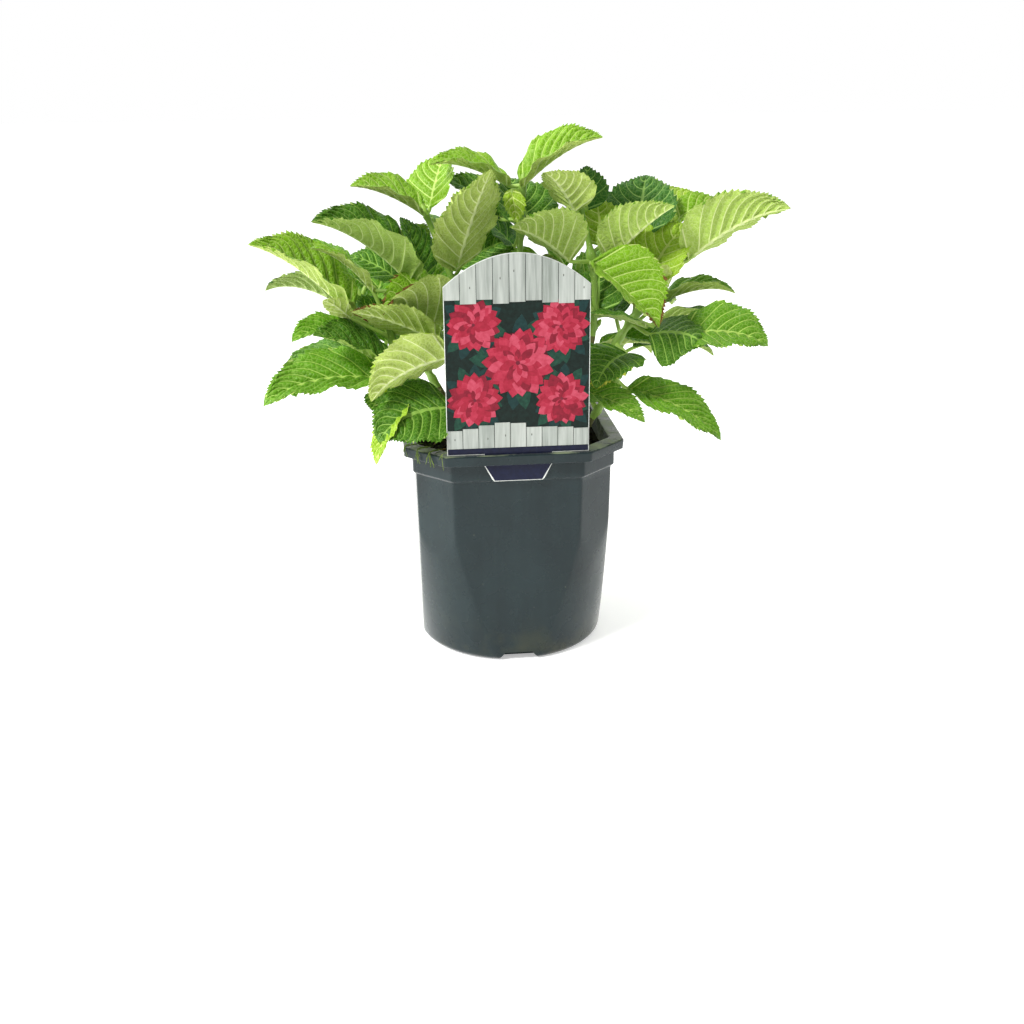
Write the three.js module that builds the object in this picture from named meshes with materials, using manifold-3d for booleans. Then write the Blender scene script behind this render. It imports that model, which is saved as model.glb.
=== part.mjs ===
// A young hydrangea shrub in its square-shouldered nursery pot, with the plant card in the rim.
// Millimetres, +Z up, the front of the pot faces -Y, origin at the middle of the pot's underside.
import * as THREE from "three";
import { mergeVertices } from "three/addons/utils/BufferGeometryUtils.js";
import Module from "manifold-3d";

const wasm = await Module();
wasm.setup();

const GAP = 0.3;
const SHORTEST_EDGE = 0.05;

// Pot: a chamfered square at the rim that runs down into a round foot. ROUND_AT_FOOT is how far the
// round body stands out past the flats at the foot, and ROUND_GROWTH how fast that grows upwards.
const RIM_HEIGHT = 129;
const RIM_HALF = 62.5;
const LIP_HEIGHT = 5.7;
const LIP_THICK = 1.5;
const LEDGE_THICK = 1.6;
const NECK_HALF = 57.6;
const NECK_BOTTOM = 113.5;
const WALL_TOP_HALF = 56;
const FOOT_RADIUS = 54.2;
const FOOT_ROUNDING = 4;
const WALL = 1.6;
const FLOOR = 2;
const FLAT_SHARE = 0.64;
const ROUND_AT_FOOT = 1;
const ROUND_GROWTH = 0.121;
const SIDE_STEPS = 6;
const NOTCH_TOP_WIDTH = 16;
const NOTCH_FOOT_WIDTH = 24;
const NOTCH_HEIGHT = 5;
const NOTCH_DEPTH = 8;
const NOTCH_OVERRUN = 10;
const SOIL_TOP = 119;

// Plant card: arched top, with a tapered tongue through a slot in the front ledge.
const CARD_WIDTH = 78;
const CARD_SIDE_HEIGHT = 92;
const CARD_ARCH = 17;
const CARD_THICK = 0.8;
const CARD_FROM_AXIS = 59.3;
const TONGUE_WIDTH = 38;
const TONGUE_FOOT_WIDTH = 27;
const TONGUE_BOTTOM = 113.5;
const SLOT_CLEARANCE = 0.35;
const ARCH_STEPS = 14;

// Growth: canes, leaf stalks and leaves.
const CANE_RADIUS = 2.6;
const CANE_TIP_RADIUS = 1.5;
const CANE_SIDES = 6;
const CANE_STEPS = 4;
const STALK_RADIUS = 1.15;
const LEAF_THICK_SHARE = 0.014;
const EDGE_HALF = 0.7;
const LEAF_STATIONS = [0, 0.08, 0.22, 0.4, 0.58, 0.76, 0.91, 1];
const FILL_STATIONS = [0, 0.14, 0.42, 0.74, 1];
const LEAF_WIDEST = 0.4;
const OUTLINE_POWER = 0.62;
const TIP_CURL = 0.35;
const SPINE_STEPS = 24;
const END_TAPER = 0.5;
const STALK_SIDES = 4;
const STALK_SHARE = 0.14;

// The rule for the leaves that are not set by hand.
const SEED = 7;
const PAIR_STEP_DEG = 90;
const PAIR_JITTER_DEG = 22;
const TRIES = 30;
const TRY_SPREAD_DEG = 6;
const TRY_STALK = 0.8;
const TRY_SHRINK = 0.011;
const FILL_LENGTH = 62;
const FILL_WIDTH_SHARE = 0.6;
const STALK_LENGTH = 15;
const SIZE_SPREAD = 0.3;
const LOW_RISE = 0;
const HIGH_RISE = 50;
const RISE_SPREAD = 24;
const STALK_STEEPER = 12;
const ARCH_RANGE = [45, 80];
const FOLD_RANGE = [12, 34];
const ROLL_SPREAD = 40;
const FILL_CLEARANCE = 5.5;
const CANE_CLEARANCE = 5;
const CANE_SAMPLES = 24;
const STALK_SAMPLES = [0.4, 0.7];
const BLADE_SAMPLES_LONG = 8;
const BLADE_SAMPLES_HALF = 2;

// The crown's space.
const CROWN_HALF_WIDTH = 152;
const CROWN_HALF_DEPTH = 128;
const CROWN_TOP = 270;
const TOP_SLOPE_BACK = 0.3;
const TOP_SLOPE_ASIDE = 0.18;
const LOWEST_TIP = 112;
const OVER_RIM = 6;
const BESIDE_POT = 3;
const BEHIND_CARD = 8;

const rad = THREE.MathUtils.degToRad;
const vec = (x, y, z) => new THREE.Vector3(x, y, z);
const mix = ([low, high], share) => THREE.MathUtils.lerp(low, high, share);

// Solids.

function solidOf(geometry) {
  const bare = geometry.clone();
  bare.deleteAttribute("normal");
  bare.deleteAttribute("uv");
  const merged = mergeVertices(bare, 1e-4);
  return new wasm.Manifold(
    new wasm.Mesh({
      numProp: 3,
      vertProperties: merged.attributes.position.array,
      triVerts: new Uint32Array(merged.index.array),
    }),
  );
}

function geometryOf(solid) {
  const mesh = solid.getMesh();
  const geometry = new THREE.BufferGeometry();
  geometry.setAttribute("position", new THREE.BufferAttribute(mesh.vertProperties, 3));
  geometry.setIndex(new THREE.BufferAttribute(mesh.triVerts, 1));
  return geometry;
}

// A closed skin over rings of equally many points, each ring turning left about the way forward.
function loft(rings) {
  const count = rings[0].length;
  const points = rings.flat();
  const index = [];
  for (let i = 0; i + 1 < rings.length; i += 1) {
    for (let j = 0; j < count; j += 1) {
      const a = i * count + j;
      const b = i * count + ((j + 1) % count);
      index.push(a, b, b + count, a, b + count, a + count);
    }
  }
  const last = (rings.length - 1) * count;
  for (let j = 1; j + 1 < count; j += 1) {
    index.push(0, j + 1, j, last, last + j, last + j + 1);
  }
  const geometry = new THREE.BufferGeometry().setFromPoints(points);
  geometry.setIndex(index);
  return geometry;
}

function largestBody(solid) {
  const bodies = solid.decompose();
  bodies.sort((a, b) => b.volume() - a.volume());
  return bodies[0];
}

// Pot.

// Distance from the axis to the pot's outline at an angle. It is a square with cut corners, inside
// a round body that widens upwards, so its flats narrow towards the foot.
function outlineRadius(angle, half, height) {
  const c = Math.abs(Math.cos(angle));
  const s = Math.abs(Math.sin(angle));
  const round = half + ROUND_AT_FOOT + ROUND_GROWTH * height;
  return Math.min(half / c, half / s, (half * (1 + FLAT_SHARE)) / (c + s), round);
}

function ringAngles() {
  const corner = Math.atan(FLAT_SHARE);
  const angles = [];
  for (let quarter = 0; quarter < 4; quarter += 1) {
    const middle = (quarter * Math.PI) / 2;
    for (let i = 0; i < SIDE_STEPS; i += 1) {
      angles.push(middle - corner + (2 * corner * i) / SIDE_STEPS);
    }
    const facet = Math.PI / 2 - 2 * corner;
    for (let i = 0; i < SIDE_STEPS / 2; i += 1) {
      angles.push(middle + corner + (facet * i) / (SIDE_STEPS / 2));
    }
  }
  return angles;
}

function ringAt(height, half) {
  return ringAngles().map((angle) => {
    const r = outlineRadius(angle, half, height);
    return vec(r * Math.cos(angle), r * Math.sin(angle), height);
  });
}

function wallHalf(height) {
  return THREE.MathUtils.lerp(FOOT_RADIUS, WALL_TOP_HALF, height / (NECK_BOTTOM - 2));
}

const WALL_LEVELS = [5, 22, 36, 50, 64, 78, 88, 100];

function outerPot() {
  const foot = FOOT_ROUNDING;
  return [
    ringAt(0, FOOT_RADIUS - foot),
    ringAt(foot * 0.3, FOOT_RADIUS - foot * 0.3),
    ...WALL_LEVELS.map((z) => ringAt(z, wallHalf(z))),
    ringAt(NECK_BOTTOM - 2, WALL_TOP_HALF),
    ringAt(NECK_BOTTOM, NECK_HALF),
    ringAt(RIM_HEIGHT - LEDGE_THICK, NECK_HALF),
  ];
}

function innerPot(clearance, top) {
  const inset = WALL + clearance;
  return [
    ringAt(FLOOR + clearance, FOOT_RADIUS - FOOT_ROUNDING),
    ringAt(FLOOR + 4, wallHalf(6) - inset),
    ...WALL_LEVELS.slice(1).map((z) => ringAt(z, wallHalf(z) - inset)),
    ringAt(NECK_BOTTOM - 2, WALL_TOP_HALF - inset),
    ringAt(top, WALL_TOP_HALF - inset),
  ];
}

// The block round a drainage notch, or the notch itself where grow is 0.
function notchBlock(quarter, grow) {
  const shape = new THREE.Shape();
  const foot = NOTCH_FOOT_WIDTH / 2 + grow;
  const top = NOTCH_TOP_WIDTH / 2 + grow;
  shape.moveTo(-foot, -1);
  shape.lineTo(foot, -1);
  shape.lineTo(foot, 0);
  shape.lineTo(top, NOTCH_HEIGHT + grow);
  shape.lineTo(-top, NOTCH_HEIGHT + grow);
  shape.lineTo(-foot, 0);
  shape.closePath();
  const block = new THREE.ExtrudeGeometry(shape, {
    depth: NOTCH_DEPTH + grow + NOTCH_OVERRUN,
    bevelEnabled: false,
  });
  block.rotateX(Math.PI / 2);
  block.translate(0, NOTCH_DEPTH + grow - FOOT_RADIUS, 0);
  block.rotateZ((quarter * Math.PI) / 2);
  return solidOf(block);
}

function cutNotches(solid, grow) {
  let cut = solid;
  for (let quarter = 0; quarter < 4; quarter += 1) {
    cut = cut.subtract(notchBlock(quarter, grow));
  }
  return cut;
}

function box(width, depth, height, x, y, z) {
  const geometry = new THREE.BoxGeometry(width, depth, height);
  geometry.translate(x, y, z);
  return solidOf(geometry);
}

function potSolid() {
  const lipInside = RIM_HALF - LIP_THICK;
  const ledgeBottom = RIM_HEIGHT - LEDGE_THICK;
  const cap = solidOf(
    loft([
      ringAt(RIM_HEIGHT - LIP_HEIGHT, RIM_HALF - 0.3),
      ringAt(RIM_HEIGHT - 0.8, RIM_HALF),
      ringAt(RIM_HEIGHT, RIM_HALF - 0.8),
    ]),
  );
  const underLip = solidOf(
    loft([ringAt(RIM_HEIGHT - LIP_HEIGHT - 1, lipInside), ringAt(ledgeBottom, lipInside)]),
  );
  const rim = cap.subtract(underLip);
  const body = solidOf(loft(outerPot()));
  const hollow = cutNotches(solidOf(loft(innerPot(0, RIM_HEIGHT + 2))), WALL);
  const slot = box(
    TONGUE_WIDTH + 2 * SLOT_CLEARANCE,
    CARD_THICK + 2 * SLOT_CLEARANCE,
    4 * LEDGE_THICK,
    0,
    -CARD_FROM_AXIS,
    RIM_HEIGHT,
  );
  return cutNotches(body.add(rim).subtract(hollow), 0).subtract(slot);
}

function soilSolid() {
  return cutNotches(solidOf(loft(innerPot(GAP, SOIL_TOP))), WALL + GAP);
}

// Plant card.

function cardShape() {
  const half = CARD_WIDTH / 2;
  const bottom = RIM_HEIGHT + GAP;
  const shape = new THREE.Shape();
  shape.moveTo(-TONGUE_WIDTH / 2, bottom);
  shape.lineTo(-TONGUE_WIDTH / 2, RIM_HEIGHT - LIP_HEIGHT);
  shape.lineTo(-TONGUE_FOOT_WIDTH / 2 - 1, TONGUE_BOTTOM + 1);
  shape.lineTo(-TONGUE_FOOT_WIDTH / 2, TONGUE_BOTTOM);
  shape.lineTo(TONGUE_FOOT_WIDTH / 2, TONGUE_BOTTOM);
  shape.lineTo(TONGUE_FOOT_WIDTH / 2 + 1, TONGUE_BOTTOM + 1);
  shape.lineTo(TONGUE_WIDTH / 2, RIM_HEIGHT - LIP_HEIGHT);
  shape.lineTo(TONGUE_WIDTH / 2, bottom);
  shape.lineTo(half, bottom);
  for (let i = 0; i <= ARCH_STEPS; i += 1) {
    const x = half - (CARD_WIDTH * i) / ARCH_STEPS;
    const rise = CARD_ARCH * (1 - (x / half) ** 2);
    shape.lineTo(x, bottom + CARD_SIDE_HEIGHT + rise);
  }
  shape.lineTo(-half, bottom);
  shape.closePath();
  return shape;
}

function cardGeometry() {
  const card = new THREE.ExtrudeGeometry(cardShape(), { depth: CARD_THICK, bevelEnabled: false });
  card.rotateX(Math.PI / 2);
  card.translate(0, -CARD_FROM_AXIS + CARD_THICK / 2, 0);
  return card;
}

// Growth.

function randomFrom(seed) {
  let state = seed >>> 0;
  return () => {
    state = (state + 0x6d2b79f5) >>> 0;
    let t = state;
    t = Math.imul(t ^ (t >>> 15), t | 1);
    t ^= t + Math.imul(t ^ (t >>> 7), t | 61);
    return ((t ^ (t >>> 14)) >>> 0) / 4294967296;
  };
}

// Each shoot is a cane that starts in the soil at foot, bends once and ends at top.
const SHOOTS = {
  left: { foot: [-22, -2], bend: [-62, -14, 140], top: [-67, -12, 190] },
  upper_left: { foot: [-12, 8], bend: [-34, -6, 160], top: [-50, 0, 214] },
  middle_left: { foot: [-4, -6], bend: [-20, -4, 190], top: [-44, 6, 250] },
  middle: { foot: [6, 6], bend: [6, 4, 200], top: [10, 2, 266] },
  middle_right: { foot: [24, 2], bend: [66, -6, 175], top: [42, 0, 254] },
  right: { foot: [34, 10], bend: [60, -2, 175], top: [98, 0, 222] },
  low_right: { foot: [30, -20], bend: [48, -24, 135], top: [60, -24, 160] },
  low_left: { foot: [-26, -26], bend: [-30, -32, 135], top: [-34, -34, 158] },
  side_left: { foot: [-32, 14], bend: [-72, 28, 145], top: [-84, 40, 198] },
  side_right: { foot: [40, 22], bend: [70, 34, 155], top: [92, 46, 200] },
  back_left: { foot: [-16, 28], bend: [-36, 48, 165], top: [-48, 60, 206] },
  back_right: { foot: [18, 28], bend: [36, 48, 165], top: [50, 60, 208] },
  back_middle: { foot: [-4, 32], bend: [-4, 62, 160], top: [-4, 76, 196] },
  back_top: { foot: [0, 18], bend: [-2, 26, 200], top: [-6, 34, 236] },
  low_back: { foot: [8, 38], bend: [10, 50, 148], top: [12, 84, 168] },
  low_back_left: { foot: [-28, 34], bend: [-38, 44, 146], top: [-64, 66, 172] },
  low_back_right: { foot: [30, 34], bend: [40, 46, 144], top: [64, 70, 170] },
};

// A shoot carries one mass of leaves from the share "leafy" of its length upwards. pairs is how many
// pairs of leaves the rule tries along it, and first the heading of the lowest one.
const RULE = {
  left: { leafy: 0.6, pairs: 3, first: 60 },
  upper_left: { leafy: 0.55, pairs: 3, first: 100 },
  middle_left: { leafy: 0.6, pairs: 3, first: 80 },
  middle: { leafy: 0.6, pairs: 3, first: 90 },
  middle_right: { leafy: 0.5, pairs: 3, first: 70 },
  right: { leafy: 0.46, pairs: 4, first: 100 },
  low_right: { leafy: 0.5, pairs: 2, first: -60 },
  low_left: { leafy: 0.5, pairs: 2, first: -150 },
  side_left: { leafy: 0.4, pairs: 6, first: 160 },
  side_right: { leafy: 0.4, pairs: 6, first: 20 },
  back_left: { leafy: 0.4, pairs: 7, first: 120 },
  back_right: { leafy: 0.4, pairs: 7, first: 60 },
  back_middle: { leafy: 0.4, pairs: 7, first: 90 },
  back_top: { leafy: 0.6, pairs: 5, first: 90 },
  low_back: { leafy: 0.4, pairs: 4, first: 50 },
  low_back_left: { leafy: 0.4, pairs: 4, first: 90 },
  low_back_right: { leafy: 0.4, pairs: 4, first: 90 },
};

for (const [name, rule] of Object.entries(RULE)) {
  Object.assign(SHOOTS[name], rule);
}

function lerp3(a, b, t) {
  return a.map((value, i) => value + (b[i] - value) * t);
}

function canePoint(shoot, share) {
  const foot = [...shoot.foot, SOIL_TOP + GAP];
  const first = lerp3(foot, shoot.bend, share);
  const second = lerp3(shoot.bend, shoot.top, share);
  return lerp3(first, second, share);
}

// A leaf's own frame at a share u of its length: a point on the midrib, the way across to the
// leaf's left, and the way out of its upper side. rise is the climb of its base in degrees, arch
// how far it bends down by its tip, and roll turns the left side up.
function leafSpine(leaf, u) {
  const heading = rad(leaf.heading);
  let along = 0;
  let up = 0;
  for (let i = 0; i < SPINE_STEPS; i += 1) {
    const middle = (u * (i + 0.5)) / SPINE_STEPS;
    const climb = rad(leaf.rise - leaf.arch * (middle * (1 - TIP_CURL) + TIP_CURL * middle ** 4));
    along += (Math.cos(climb) * leaf.length * u) / SPINE_STEPS;
    up += (Math.sin(climb) * leaf.length * u) / SPINE_STEPS;
  }
  const climb = rad(leaf.rise - leaf.arch * (u * (1 - TIP_CURL) + TIP_CURL * u ** 4));
  const side = [-Math.sin(heading), Math.cos(heading), 0];
  const normal = [
    -Math.sin(climb) * Math.cos(heading),
    -Math.sin(climb) * Math.sin(heading),
    Math.cos(climb),
  ];
  const roll = rad(leaf.roll + leaf.twist * u);
  return {
    point: [
      leaf.base[0] + along * Math.cos(heading),
      leaf.base[1] + along * Math.sin(heading),
      leaf.base[2] + up,
    ],
    across: side.map((s, i) => s * Math.cos(roll) + normal[i] * Math.sin(roll)),
    out: side.map((s, i) => normal[i] * Math.cos(roll) - s * Math.sin(roll)),
  };
}

// Half the blade's width at a share u of its length: egg-shaped, drawn out to the tip.
function bladeHalf(leaf, u) {
  const a = OUTLINE_POWER;
  const b = (a * (1 - LEAF_WIDEST)) / LEAF_WIDEST;
  const peak = LEAF_WIDEST ** a * (1 - LEAF_WIDEST) ** b;
  const shape = (u ** a * (1 - u) ** b) / peak;
  return Math.max(EDGE_HALF, (leaf.width / 2) * shape);
}

// A point of the blade: v runs from -1 at the right edge to 1 at the left edge.
function bladePoint(leaf, u, v) {
  const { point, across, out } = leafSpine(leaf, u);
  const half = bladeHalf(leaf, u);
  const fold = rad(leaf.fold);
  const sideways = v * half * Math.cos(fold);
  const raised = Math.abs(v) * half * Math.sin(fold);
  return point.map((p, i) => p + across[i] * sideways + out[i] * raised);
}

function bladeSamples(leaf) {
  const samples = [];
  for (let i = 0; i <= BLADE_SAMPLES_LONG; i += 1) {
    for (let j = -BLADE_SAMPLES_HALF; j <= BLADE_SAMPLES_HALF; j += 1) {
      samples.push(bladePoint(leaf, i / BLADE_SAMPLES_LONG, j / BLADE_SAMPLES_HALF));
    }
  }
  return samples;
}

// One leaf set by hand: its shoot and the share of the cane where its stalk leaves, its base, its
// heading from above (0 is +X, 90 is the back), its rise, length, width, arch, fold, roll and twist.
function leaf(shoot, share, base, heading, rise, length, width, arch, fold, roll = 0, twist = 0) {
  return { shoot, share, base, heading, rise, length, width, arch, fold, roll, twist };
}

const SET_LEAVES = [
  leaf("left", 1, [-88, -12, 198], 194, 52, 70, 46, 35, 36, -22),
  leaf("left", 0.95, [-88, -14, 197], 232, 40, 27, 16, 20, 10, 30),
  leaf("left", 0.74, [-67, -16, 167], 203, 41, 53, 42, 30, 25, -20),
  leaf("left", 0.7, [-69, -22, 163], 195, 16, 74, 40, 56, 22, -25),
  leaf("left", 0.68, [-74, -26, 158], 250, -20, 16, 14, 20, 10, 0),
  leaf("left", 0.9, [-68, 6, 186], 165, 50, 28, 22, 20, 20, -20),
  leaf("upper_left", 1, [-54, -2, 213], 199, 50, 69, 54, 40, 42, -12),
  leaf("upper_left", 0.7, [-40, -20, 184], 191, 30, 53, 28, 20, 10, 45),
  leaf("upper_left", 0.72, [-37, -10, 190], 205, 33, 40, 62, 50, 60, 0),
  leaf("upper_left", 0.95, [-76, 15, 207], 195, 45, 20, 16, 20, 15, -20),
  leaf("upper_left", 0.97, [-60, 16, 212], 160, 35, 34, 28, 30, 15, -30),
  leaf("upper_left", 1, [-46, 8, 214], 140, 72, 38, 28, 20, 20, 0),
  leaf("middle_left", 1, [-46, 6, 251], 189, 36, 44, 34, 35, 28, -15),
  leaf("middle_left", 1, [-42, 9, 253], 50, 68, 34, 38, 15, 15, -10),
  leaf("middle_left", 0.8, [-29, -4, 220], -54, 65, 66, 44, 10, 8, 0),
  leaf("middle_left", 0.84, [-20, 8, 237], 80, 72, 20, 14, 10, 10, 0),
  leaf("middle_left", 0.8, [-28, 10, 220], 15, 30, 42, 32, 25, 15, 40),
  leaf("middle", 1, [3, 4, 265], 191, 34, 49, 32, 45, 26, -12),
  leaf("middle", 1, [9, 1, 264.5], -18, 46, 54, 38, 38, 32, 22),
  leaf("middle", 0.86, [-2, 12, 246], 165, 50, 40, 32, 40, 20, -20),
  leaf("middle", 0.97, [3, -2, 264], -80, -50, 20, 13, 20, 15, 0),
  leaf("middle", 0.82, [16, 10, 238], 110, 55, 42, 40, 30, 15, 0),
  leaf("middle", 0.8, [6, 12, 230], 165, 50, 26, 22, 30, 15, -20),
  leaf("middle_right", 1, [38, -10, 252], 213, 58, 32, 36, 30, 20, 15),
  leaf("middle_right", 1, [47, 6, 251], 85, 80, 25, 25, 15, 12, 0),
  leaf("middle_right", 0.8, [35, -12, 225], 208, 41, 46, 50, 30, 30, 25),
  leaf("middle_right", 0.83, [55, 4, 231], 95, 76, 28, 34, 30, 15, 0),
  leaf("middle_right", 0.82, [58, -6, 223], -33, 49, 51, 42, 20, 40, -20),
  leaf("middle_right", 0.78, [45, -20, 226], -29, -34, 53, 54, 15, 35, 20),
  leaf("middle_right", 0.6, [53, -2, 194], 80, 60, 28, 36, 20, 20, 0),
  leaf("right", 1, [103, -4, 222], -22, 44, 66, 46, 38, 30, -42),
  leaf("right", 0.9, [78, 12, 234], 70, 62, 42, 44, 25, 15, 0),
  leaf("right", 0.97, [92, 26, 238], 30, 45, 36, 34, 40, 15, 20),
  leaf("right", 1, [102, 14, 244], 10, 35, 26, 22, 30, 15, 30),
  leaf("right", 0.92, [92, -8, 209], 200, 30, 24, 22, 30, 20, 40),
  leaf("right", 0.66, [100, -10, 181], -25, 16, 52, 44, 50, 15, 25),
  leaf("right", 0.64, [80, -16, 183], -24, 20, 34, 50, 70, -15, 25),
  leaf("right", 0.65, [80, -14, 187], 192, 24, 38, 22, 20, 12, 0),
  leaf("right", 0.52, [68, -16, 172], 232, 10, 42, 38, 70, 12, -10),
  leaf("low_right", 1, [66, -24, 154], -19, -10, 63, 33, 42, 15, 20),
  leaf("low_right", 0.9, [38, -32, 156], -29, -8, 42, 26, 32, 15, 15),
  leaf("low_left", 1, [-34, -41, 180], 189, -6, 52, 44, 50, 20, 50),
  leaf("low_left", 0.8, [-34, -35, 149], 203, 12, 50, 50, 70, 5, -30),
  leaf("low_left", 0.7, [-59, -33, 152], 232, -22, 42, 22, 50, 12, 20),
  leaf("right", 0.8, [80, 0, 208], 20, 62, 44, 40, 30, 25, 35),
  leaf("right", 0.72, [84, 16, 200], 70, 50, 44, 42, 30, 20, 0),
];

// The stalk runs from the cane into the foot of the blade.
function stalkPath(one) {
  const node = canePoint(SHOOTS[one.shoot], one.share);
  return [node, one.base, bladePoint(one, STALK_SHARE, 0)];
}

function stalkSamples(one) {
  const node = canePoint(SHOOTS[one.shoot], one.share);
  return STALK_SAMPLES.map((share) => lerp3(node, one.base, share));
}

function distance(a, b) {
  return Math.hypot(a[0] - b[0], a[1] - b[1], a[2] - b[2]);
}

// The crown's space, with the pot's rim and the card kept free. Its top slopes down to the back and
// sides.
function insideSpace(point) {
  const [x, y, z] = point;
  const top = CROWN_TOP - TOP_SLOPE_BACK * y - TOP_SLOPE_ASIDE * Math.abs(x);
  if ((x / CROWN_HALF_WIDTH) ** 2 + (y / CROWN_HALF_DEPTH) ** 2 > 1 || z > top) {
    return false;
  }
  const overPot = Math.max(Math.abs(x), Math.abs(y)) < RIM_HALF + BESIDE_POT;
  if (z < (overPot ? RIM_HEIGHT + OVER_RIM : LOWEST_TIP)) {
    return false;
  }
  return Math.abs(x) > CARD_WIDTH / 2 + BESIDE_POT || y > BEHIND_CARD - CARD_FROM_AXIS;
}

// A leaf that the rule grows: in opposite pairs, each pair turned a right angle from the last.
// The lower ones reach out, the upper ones stand up. A later try is smaller, on a longer stalk.
function pairLeaf(name, share, heading, attempt, random) {
  const shoot = SHOOTS[name];
  const size = (1 + (random() - 0.5) * SIZE_SPREAD) * (1 - TRY_SHRINK * attempt);
  const rise = mix([LOW_RISE, HIGH_RISE], share) + (random() - 0.5) * RISE_SPREAD;
  const stalk = STALK_LENGTH * size + TRY_STALK * attempt;
  const node = canePoint(shoot, share);
  const climb = rad(rise + STALK_STEEPER);
  const base = [
    node[0] + stalk * Math.cos(climb) * Math.cos(rad(heading)),
    node[1] + stalk * Math.cos(climb) * Math.sin(rad(heading)),
    node[2] + stalk * Math.sin(climb),
  ];
  const length = FILL_LENGTH * size;
  const width = length * FILL_WIDTH_SHARE;
  const arch = mix(ARCH_RANGE, random());
  const fold = mix(FOLD_RANGE, random());
  const roll = (random() - 0.5) * ROLL_SPREAD;
  return leaf(name, share, base, heading, rise, length, width, arch, fold, roll);
}

function caneSamples() {
  return Object.values(SHOOTS).flatMap((shoot) =>
    Array.from({ length: CANE_SAMPLES + 1 }, (_, i) => canePoint(shoot, i / CANE_SAMPLES)),
  );
}

// Some tries at a leaf, each a little further from the rule's heading, until one has room.
function firstThatFits(name, share, heading, random, grown, canes) {
  for (let i = 0; i < TRIES; i += 1) {
    const turned = heading + (random() - 0.5) * (PAIR_JITTER_DEG + TRY_SPREAD_DEG * i);
    const one = pairLeaf(name, share, turned, i, random);
    const blade = bladeSamples(one);
    const samples = [...blade, ...stalkSamples(one)];
    const clear = grown.every((other) =>
      samples.every((p) => other.samples.every((q) => distance(p, q) > FILL_CLEARANCE)),
    );
    const free = canes.every((c) => blade.every((p) => distance(p, c) > CANE_CLEARANCE));
    if (clear && free && blade.every(insideSpace)) {
      return { ...one, samples, stations: FILL_STATIONS };
    }
  }
  return null;
}

function growLeaves() {
  const random = randomFrom(SEED);
  const canes = caneSamples();
  const grown = SET_LEAVES.map((one) => ({
    ...one,
    samples: [...bladeSamples(one), ...stalkSamples(one)],
    stations: LEAF_STATIONS,
  }));
  for (const [name, shoot] of Object.entries(SHOOTS)) {
    for (let pair = 0; pair < shoot.pairs; pair += 1) {
      const share = THREE.MathUtils.lerp(shoot.leafy + 0.1, 1, pair / (shoot.pairs - 1));
      const turn = shoot.first + PAIR_STEP_DEG * pair;
      for (const heading of [turn, turn + 180]) {
        const one = firstThatFits(name, share, heading, random, grown, canes);
        if (one) {
          grown.push(one);
        }
      }
    }
  }
  return grown;
}

// Solids of the growth.

// A ring of points round a centre, square to the direction.
function ringRound(centre, direction, radius, sides) {
  const forward = direction.clone().normalize();
  const side = vec(0, 1, 0).cross(forward).normalize();
  const up = forward.clone().cross(side);
  return Array.from({ length: sides }, (_, i) => {
    const angle = (2 * Math.PI * i) / sides;
    return centre
      .clone()
      .addScaledVector(side, radius * Math.cos(angle))
      .addScaledVector(up, radius * Math.sin(angle));
  });
}

function rodSolid(path, radii, sides) {
  const points = path.map((point) => vec(...point));
  const rings = points.map((point, i) => {
    const ahead = points[Math.min(i + 1, points.length - 1)];
    const behind = points[Math.max(i - 1, 0)];
    return ringRound(point, ahead.clone().sub(behind), radii[i], sides);
  });
  return solidOf(loft(rings));
}

function caneRadius(share) {
  return THREE.MathUtils.lerp(CANE_RADIUS, CANE_TIP_RADIUS, share);
}

// A stretch of a cane. The one that stands on the soil is cut level there.
function caneSolid(shoot, from, to) {
  const shares = Array.from(
    { length: CANE_STEPS + 1 },
    (_, i) => from + ((to - from) * i) / CANE_STEPS,
  );
  const rings = shares.map((share, i) => {
    const centre = vec(...canePoint(shoot, share));
    const ahead = vec(...canePoint(shoot, share + 0.01));
    const level = i === 0 && from === 0;
    const direction = level ? vec(0, 0, 1) : ahead.sub(centre);
    return ringRound(centre, direction, caneRadius(share), CANE_SIDES);
  });
  return solidOf(loft(rings));
}

function leafSolid(one) {
  const thick = one.length * LEAF_THICK_SHARE;
  const rings = one.stations.map((u) => {
    const { out } = leafSpine(one, u);
    const taper = u === 0 || u === 1 ? END_TAPER : 1;
    const above = out.map((value) => (value * thick * taper) / 2);
    const middle = bladePoint(one, u, 0);
    return [
      vec(...bladePoint(one, u, 1)),
      vec(...middle.map((value, i) => value + above[i])),
      vec(...bladePoint(one, u, -1)),
      vec(...middle.map((value, i) => value - above[i])),
    ];
  });
  return solidOf(loft(rings));
}

function massSolid(name, leaves) {
  const shoot = SHOOTS[name];
  const height = shoot.top[2] - SOIL_TOP;
  let mass = caneSolid(shoot, shoot.leafy + GAP / height, 1);
  for (const one of leaves.filter((each) => each.shoot === name)) {
    const radii = [STALK_RADIUS, STALK_RADIUS, STALK_RADIUS / 2];
    mass = mass.add(rodSolid(stalkPath(one), radii, STALK_SIDES)).add(leafSolid(one));
  }
  return largestBody(mass.simplify(SHORTEST_EDGE));
}

// The whole plant.

const MATERIALS = {
  pot: { color: 0x3f4a4b, roughness: 0.55, metalness: 0 },
  soil: { color: 0x1b1812, roughness: 0.95, metalness: 0 },
  card: { color: 0xd5d9d2, roughness: 0.45, metalness: 0 },
  cane: { color: 0x8fa35a, roughness: 0.6, metalness: 0 },
  leaf: { color: 0x5f9e31, roughness: 0.5, metalness: 0 },
};

const root = new THREE.Group();

function place(name, geometry, look) {
  const mesh = new THREE.Mesh(geometry, new THREE.MeshStandardMaterial(MATERIALS[look]));
  mesh.name = name;
  root.add(mesh);
}

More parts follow.
